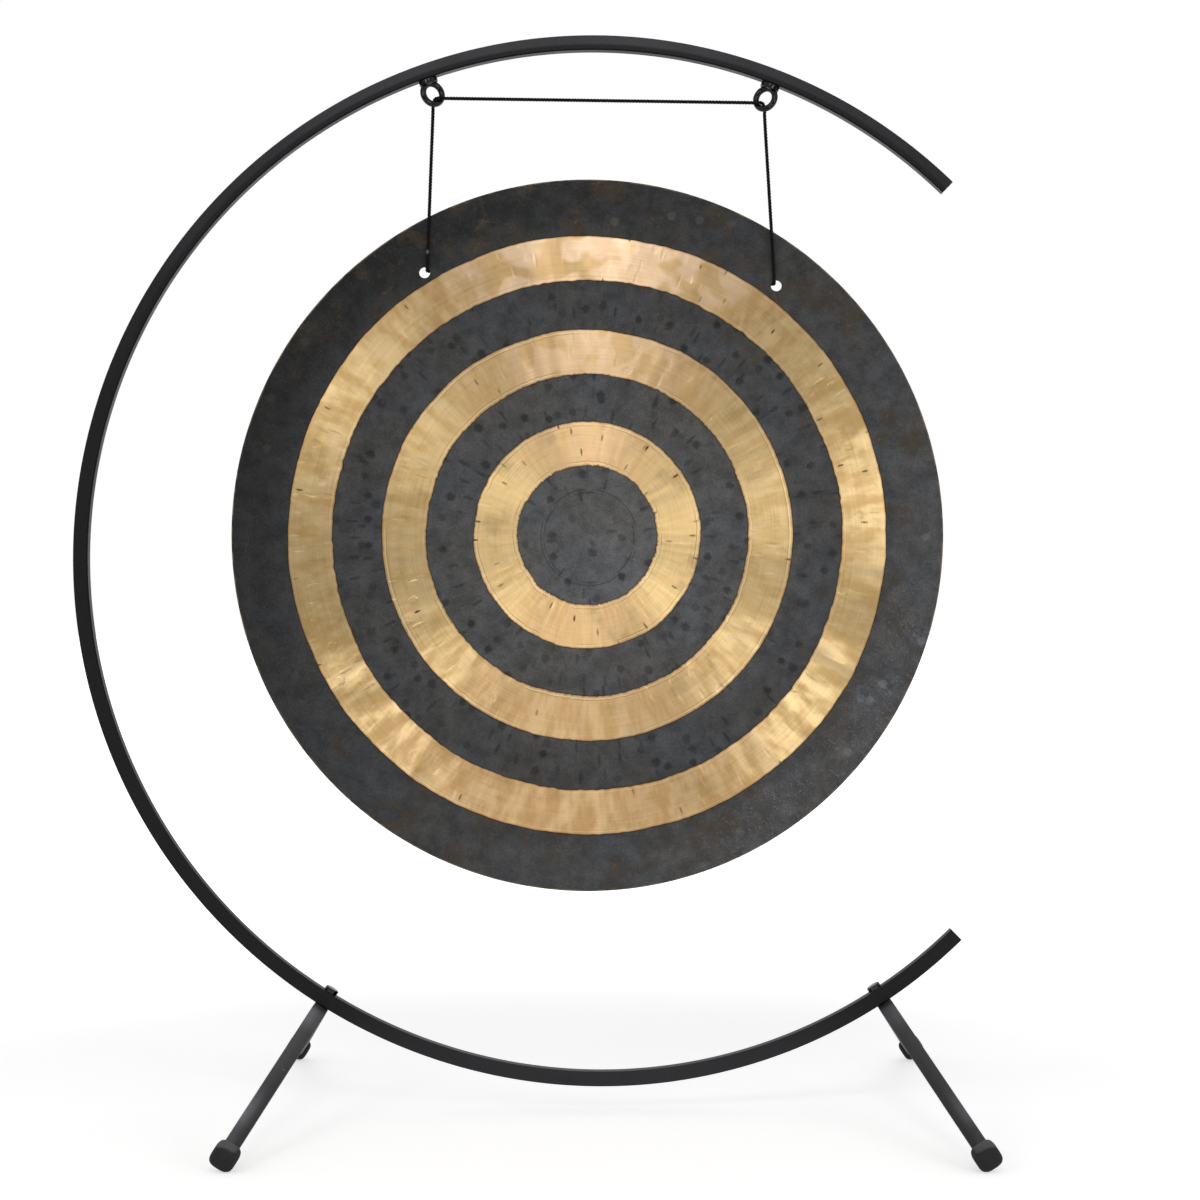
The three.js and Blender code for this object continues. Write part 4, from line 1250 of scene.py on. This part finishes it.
def make_gong():
    angles = [2 * math.pi * step / GONG_STEPS for step in range(GONG_STEPS)]
    edges = {}
    for number, (inner, outer) in enumerate(BANDS):
        edges[inner] = [wander(a, 10 * number, *INNER_STRAY) for a in angles]
        edges[outer] = [wander(a, 10 * number + 4, *OUTER_STRAY) for a in angles]

    def inside_band(radius, step):
        """The distance to the nearest band edge, positive inside a band."""
        here = [min(radius - (inner + edges[inner][step]), outer + edges[outer][step] - radius)
                for inner, outer in BANDS]
        return min(here, key=abs)

    points, distance = [(0.0, gong_face(0), 0.0)], [-BANDS[0][0]]
    stations = gong_stations()
    for station in stations:
        for step, angle in enumerate(angles):
            if isinstance(station, tuple):
                kind, base, offset = station
                radius = base + edges[base][step] + offset
                away = offset if kind == "inner" else -offset
            else:
                radius = station
                away = inside_band(radius, step)
            sunk = BAND_DEPTH * min(1.0, max(0.0, away / BAND_WALL + 0.5))
            sunk += max(0.0, radius - RIM_START) * RIM_FALL[0]
            height = gong_face(radius) + hammered(radius, angle) + sunk
            points.append((radius * math.cos(angle), height, radius * math.sin(angle)))
            distance.append(away)
    # The rim and the back: (radius, height over the smooth front)
    behind = [(GONG_RADIUS, RIM_EDGE), (GONG_RADIUS, GONG_THICKNESS - RIM_EDGE)]
    for radius in BACK_RINGS + [BACK_RINGS[-1] * share for share in BACK_SHARES]:
        behind.append((radius, GONG_THICKNESS - max(0.0, radius - RIM_START) * RIM_FALL[1]))
    for radius, over in behind:
        for angle in angles:
            height = gong_face(radius) + hammered(radius, angle) * BACK_HAMMER + over
            points.append((radius * math.cos(angle), height, radius * math.sin(angle)))
    points.append((0.0, gong_face(0) + GONG_THICKNESS, 0.0))
    distance += [FAR_FROM_BANDS] * (len(points) - len(distance))

    n = GONG_STEPS
    end = len(points) - 1
    faces = [(0, 1 + s, 1 + (s + 1) % n) for s in range(n)]
    faces += [(a, d, c, b) for a, b, c, d in shifted(skin_faces(len(stations) + len(behind), n, False), 1)]
    faces += [(end - n + s, end, end - n + (s + 1) % n) for s in range(n)]
    seat = Matrix.Translation(Vector(GONG_PLACE) * MM) @ Matrix.Rotation(GONG_TURN, 4, "Y")
    gong = new_piece("gong_disc_fine", points, faces, gong_brass, even=False)
    carry(gong, "edge", distance)
    gong.matrix_world = seat
    cutters = []
    for x, z in HOLES:
        section = round_section(HOLE_RADIUS, HOLE_SIDES)
        points = [(x + a, height, z + b) for height in HOLE_CUT for a, b in section]
        cutter = new_piece("drill", points, skin_faces(2, HOLE_SIDES), gong_brass, even=False)
        cutter.matrix_world = seat
        cutters.append(cutter)
    combined(gong, cutters)
    gong.modifiers.clear()
    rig.replaces(gong, "gong_disc")
    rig.ride(gong, "gong")


# The cord

def curve_point(four, knots, t):
    """The place at t on the curve between the middle two of four points."""
    def between(a, b, start, end):
        return ((end - t) * a + (t - start) * b) / (end - start)

    level = [between(*each) for each in zip(four, four[1:], knots, knots[1:])]
    level = [between(*each) for each in zip(level, level[1:], knots, knots[2:])]
    return between(*level, knots[1], knots[2])


def smooth_line(controls, spacing, closed):
    """Close points on a centripetal curve through the given ones, and the number where each one falls."""
    controls = [Vector(point) for point in controls]
    count = len(controls)
    line, marks = [], []
    for number in range(count if closed else count - 1):
        if closed:
            four = [controls[(number + k) % count] for k in (-1, 0, 1, 2)]
        else:
            four = [controls[min(max(number + k, 0), count - 1)] for k in (-1, 0, 1, 2)]
            if number == 0:
                four[0] = 2 * four[1] - four[2]
            if number == count - 2:
                four[3] = 2 * four[2] - four[1]
        knots = [0.0]
        for a, b in zip(four, four[1:]):
            knots.append(knots[-1] + max((b - a).length, 1e-6) ** 0.5)
        marks.append(len(line))
        steps = max(2, round((four[2] - four[1]).length / spacing))
        line += [curve_point(four, knots, knots[1] + (knots[2] - knots[1]) * step / steps)
                 for step in range(steps)]
    if not closed:
        line.append(controls[-1])
        marks.append(len(line) - 1)
    return line, marks


def carried_frames(line, closed):
    """Directions across a line that turn with it and never twist about it."""
    count = len(line)
    frames = []
    side = None
    for i in range(count):
        before, after = (i - 1, (i + 1) % count) if closed else (max(i - 1, 0), min(i + 1, count - 1))
        direction = (line[after] - line[before]).normalized()
        if side is None:
            side = direction.orthogonal().normalized()
        side = (side - direction * side.dot(direction)).normalized()
        frames.append((side.copy(), direction.cross(side)))
    return frames


def loop_twist(frames):
    """How far the frames of a closed line have turned when they come back to its start."""
    side, up = frames[0]
    last = frames[-1][0]
    return math.atan2(last.dot(up), last.dot(side))


def strand_tubes(line, frames, phases, strands=3, sides=8):
    """A laid cord along a line: strands that wind round each other, each a closed tube."""
    thin = CORD_SHOWN * STRAND_SHARE
    reach = CORD_SHOWN - thin
    points, faces = [], []
    for strand in range(strands):
        faces += shifted(skin_faces(len(line), sides), len(points))
        for place, (side, up), phase in zip(line, frames, phases):
            turn = phase + 2 * math.pi * strand / strands
            out = side * math.cos(turn) + up * math.sin(turn)
            round_it = -side * math.sin(turn) + up * math.cos(turn)
            middle = place + out * reach
            for s in range(sides):
                a = 2 * math.pi * s / sides
                points.append(tuple(middle + out * (thin * math.cos(a))
                                    + round_it * (thin * STRAND_FLATTEN * math.sin(a))))
    return points, faces


def line_length(line):
    return sum((b - a).length for a, b in zip(line, line[1:]))


def cord_piece(name, line, frames, phases):
    points, faces = strand_tubes(line, frames, phases)
    piece = new_piece(name, points, faces, cord_braid, sharp=CORD_SHARP, even=False)
    carry(piece, "fluff", [max(0.0, 0.9 - (Vector(point) - Vector(PALE_SPECK)).length / PALE_SPECK_SIZE)
                           for point in points])
    outward(piece)
    return piece


def blend_line(pivots, above, below):
    """Two points on a line square to the hinge through both pivots, above and below it."""
    left, right = Vector(pivots["left"]), Vector(pivots["right"])
    along = (right - left).normalized()
    down = Vector((0, 0, -1))
    down = (down - along * down.dot(along)).normalized()
    middle = (left + right) / 2
    return tuple((middle - down * above) * MM), tuple((middle + down * below) * MM)


def make_cord():
    half = {side: tuple((a + b) / 2 for a, b in zip(SWING[side], TILT[side])) for side in SWING}
    controls = [half["left"], SWING["left"], *TOP_RUN, SWING["right"], half["right"], TILT["right"],
                *BACK_RUN, TILT["left"]]
    line, marks = smooth_line(controls, CORD_STEP, True)
    frames = carried_frames(line, True)
    whole = line + [line[0]]
    reach = line_length(whole)
    twist = loop_twist(frames)
    third = 2 * math.pi / 3
    turns = round((2 * math.pi * reach / CORD_LAY + twist) / third) * third - twist
    phases, gone = [], 0.0
    for a, b in zip(whole, whole[1:]):
        phases.append(turns * gone / reach)
        gone += (b - a).length
    cut = marks[len(TOP_RUN) + 3]
    upper_line, lower_line = line[:cut + 1], line[cut:] + line[:1]
    upper = cord_piece("cord_upper", upper_line, frames[:cut + 1], phases[:cut + 1])
    # The last ring of the lower stretch is the first ring of the upper one, turned back by the twist
    lower = cord_piece("cord_lower", lower_line, frames[cut:] + frames[:1], phases[cut:] + [turns + twist])
    for piece, stretch, extra in ((upper, upper_line, ()), (lower, lower_line, (make_knot(),))):
        path = [tuple(point * MM) for point in stretch]
        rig.cord(piece, exit=path[0], length=line_length(stretch) * MM, diameter=2 * CORD_RADIUS * MM,
                far_end="object", stiffness="limp", lay="taut", path=path, with_pieces=extra)
    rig.replaces(upper, "cord_top_run", "cord_drop_left", "cord_drop_right")
    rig.replaces(lower, "cord_back_run")
    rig.blend(upper, "stand", "hanger", *blend_line(SWING, 1.5, 6.0))
    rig.blend(lower, "hanger", "gong", *blend_line(TILT, 5.0, 1.5))


def make_knot():
    """The loop's knot behind the gong: the two ends tied round each other, with two tails."""
    middle = Vector(KNOT)
    winding = []
    for step in range(KNOT_STEPS):
        t = 2 * math.pi * step / KNOT_STEPS
        winding.append(middle + Vector((
            KNOT_SIZE * (math.sin(t) + KNOT_LOOPS * math.sin(2 * t)),
            -KNOT_DEPTH * math.sin(3 * t),
            KNOT_SIZE * (math.cos(t) - KNOT_LOOPS * math.cos(2 * t)),
        )))
    frames = carried_frames(winding, True)
    points = []
    for place, (side, up) in zip(winding, frames):
        points += [tuple(place + (side * a + up * b)) for a, b in round_section(KNOT_WIRE, KNOT_SIDES)]
    # The frames come back turned a little after the whole winding, so the last ring is joined with a shift
    shift = round(loop_twist(frames) / (2 * math.pi / KNOT_SIDES))
    faces = loop_faces(KNOT_STEPS, KNOT_SIDES, shift)
    for side in (-1, 1):
        start, bend, end = (Vector((side * x, y, z)) for x, y, z in (TAIL_START, TAIL_BEND, TAIL_END))
        end = middle + end
        line, _ = smooth_line([middle + start, middle.lerp(end, 0.5) + bend, end], TAIL_STEP, False)
        phases = [2 * math.pi * step * TAIL_STEP / CORD_LAY for step in range(len(line))]
        tail, tail_faces = strand_tubes(line, carried_frames(line, False), phases)
        ball, ball_faces = lathe_points(TAIL_BALL, 16)
        faces += shifted(tail_faces, len(points))
        points += tail
        faces += shifted(ball_faces, len(points))
        points += [tuple(Vector(point) + end) for point in ball]
    knot = new_piece("cord_knot", points, faces, cord_braid, sharp=CORD_SHARP, even=False)
    outward(knot)
    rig.ride(knot, "gong")
    return knot


make_cord()
make_ring()
for label, side in (("left", -1), ("right", 1)):
    make_eye(label, side)
    make_foot(label)
    make_bolt(label)
    make_cap(label, "front", -1)
    make_cap(label, "rear", 1)
make_gong()


# Floor, backdrop and lights

def make_floor():
    """A pale floor that stays white far off and keeps a soft shadow round the feet."""
    material = bpy.data.materials.new("floor_white")
    material.use_nodes = True
    tree = Tree(material.node_tree)
    material.node_tree.nodes.clear()
    place = tree.place()
    glossy = tree.ray("Glossy")
    seen = tree.most(tree.ray("Camera"), tree.most(glossy, tree.ray("Transmission")))
    # In a mirror the floor in front of the object is about as dim as the room above it
    dim = glossy * tree.span(tree.parts(place)[1], -0.3, -1.2)
    glow = seen * tree.span(tree.vectors("LENGTH", place), 0.5, 1.4, 0.55, 1.0) * (1.0 - dim)
    emission = tree.add("Emission", {"Color": (1, 1, 1), "Strength": glow})
    colour = tree.mix(tree.noise(place, 30.0, 2.0), (0.80, 0.80, 0.80), (0.83, 0.83, 0.83))
    diffuse = tree.add("BsdfDiffuse", {"Color": tree.shade(colour, 1.0 - dim * 0.42)})
    both = tree.add("AddShader", {0: diffuse.outputs[0], 1: emission.outputs[0]})
    tree.add("OutputMaterial", {"Surface": both.outputs[0]})
    mesh = bpy.data.meshes.new("floor")
    corners = [(-1, -1), (1, -1), (1, 1), (-1, 1)]
    mesh.from_pydata([(FLOOR_HALF * x, FLOOR_HALF * y, 0) for x, y in corners], [], [(0, 1, 2, 3)])
    mesh.materials.append(material)
    floor = new_object("floor", mesh)
    floor.location.z = -FLOOR_DROP
    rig.stage(floor)


def make_world():
    """A white room. Behind the camera it is darker than behind the object."""
    world = bpy.data.worlds.new("studio")
    world.use_nodes = True
    tree = Tree(world.node_tree)
    world.node_tree.nodes.clear()
    room = tree.span(tree.parts(tree.read("TexCoord", "Generated"))[1], -0.75, 0.1, 0.68, 1.0)

    def light(strength):
        return tree.add("Background", {"Color": (1, 1, 1), "Strength": strength}).outputs[0]

    mirrored = tree.most(tree.ray("Glossy"), tree.ray("Transmission"))
    unseen = tree.add("MixShader", {0: mirrored, 1: light(room * 0.5), 2: light(room)})
    seen = tree.add("MixShader", {0: tree.ray("Camera"), 1: unseen.outputs[0], 2: light(1.0)})
    tree.add("OutputWorld", {"Surface": seen.outputs[0]})
    bpy.context.scene.world = world


def make_light(name, place, size, power):
    data = bpy.data.lights.new(name, "AREA")
    data.shape = "RECTANGLE"
    data.size, data.size_y = size
    data.energy = power
    light = new_object(name, data)
    light.location = place
    light.rotation_euler = (LIGHT_TARGET - Vector(place)).to_track_quat("-Z", "Y").to_euler()


def light_place(around, out):
    """A place in front of the gong: the angle round its axis, and how far off that axis, in degrees."""
    a, b = math.radians(around), math.radians(out)
    away = Vector((math.sin(b) * math.cos(a), -math.cos(b), math.sin(b) * math.sin(a)))
    return LIGHT_TARGET + SOFTBOX_DISTANCE * away


make_floor()
make_world()
for name, around, out, size, power in SOFTBOXES:
    make_light(name, light_place(around, out), size, power)
for name, place, power in REFLECTORS:
    make_light(name, place, REFLECTOR_SIZE, power)

scene = bpy.context.scene
scene.view_settings.view_transform = "Standard"

with open("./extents.json", "w") as out:
    json.dump([cad_box, [list(corner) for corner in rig.bounds()]], out)
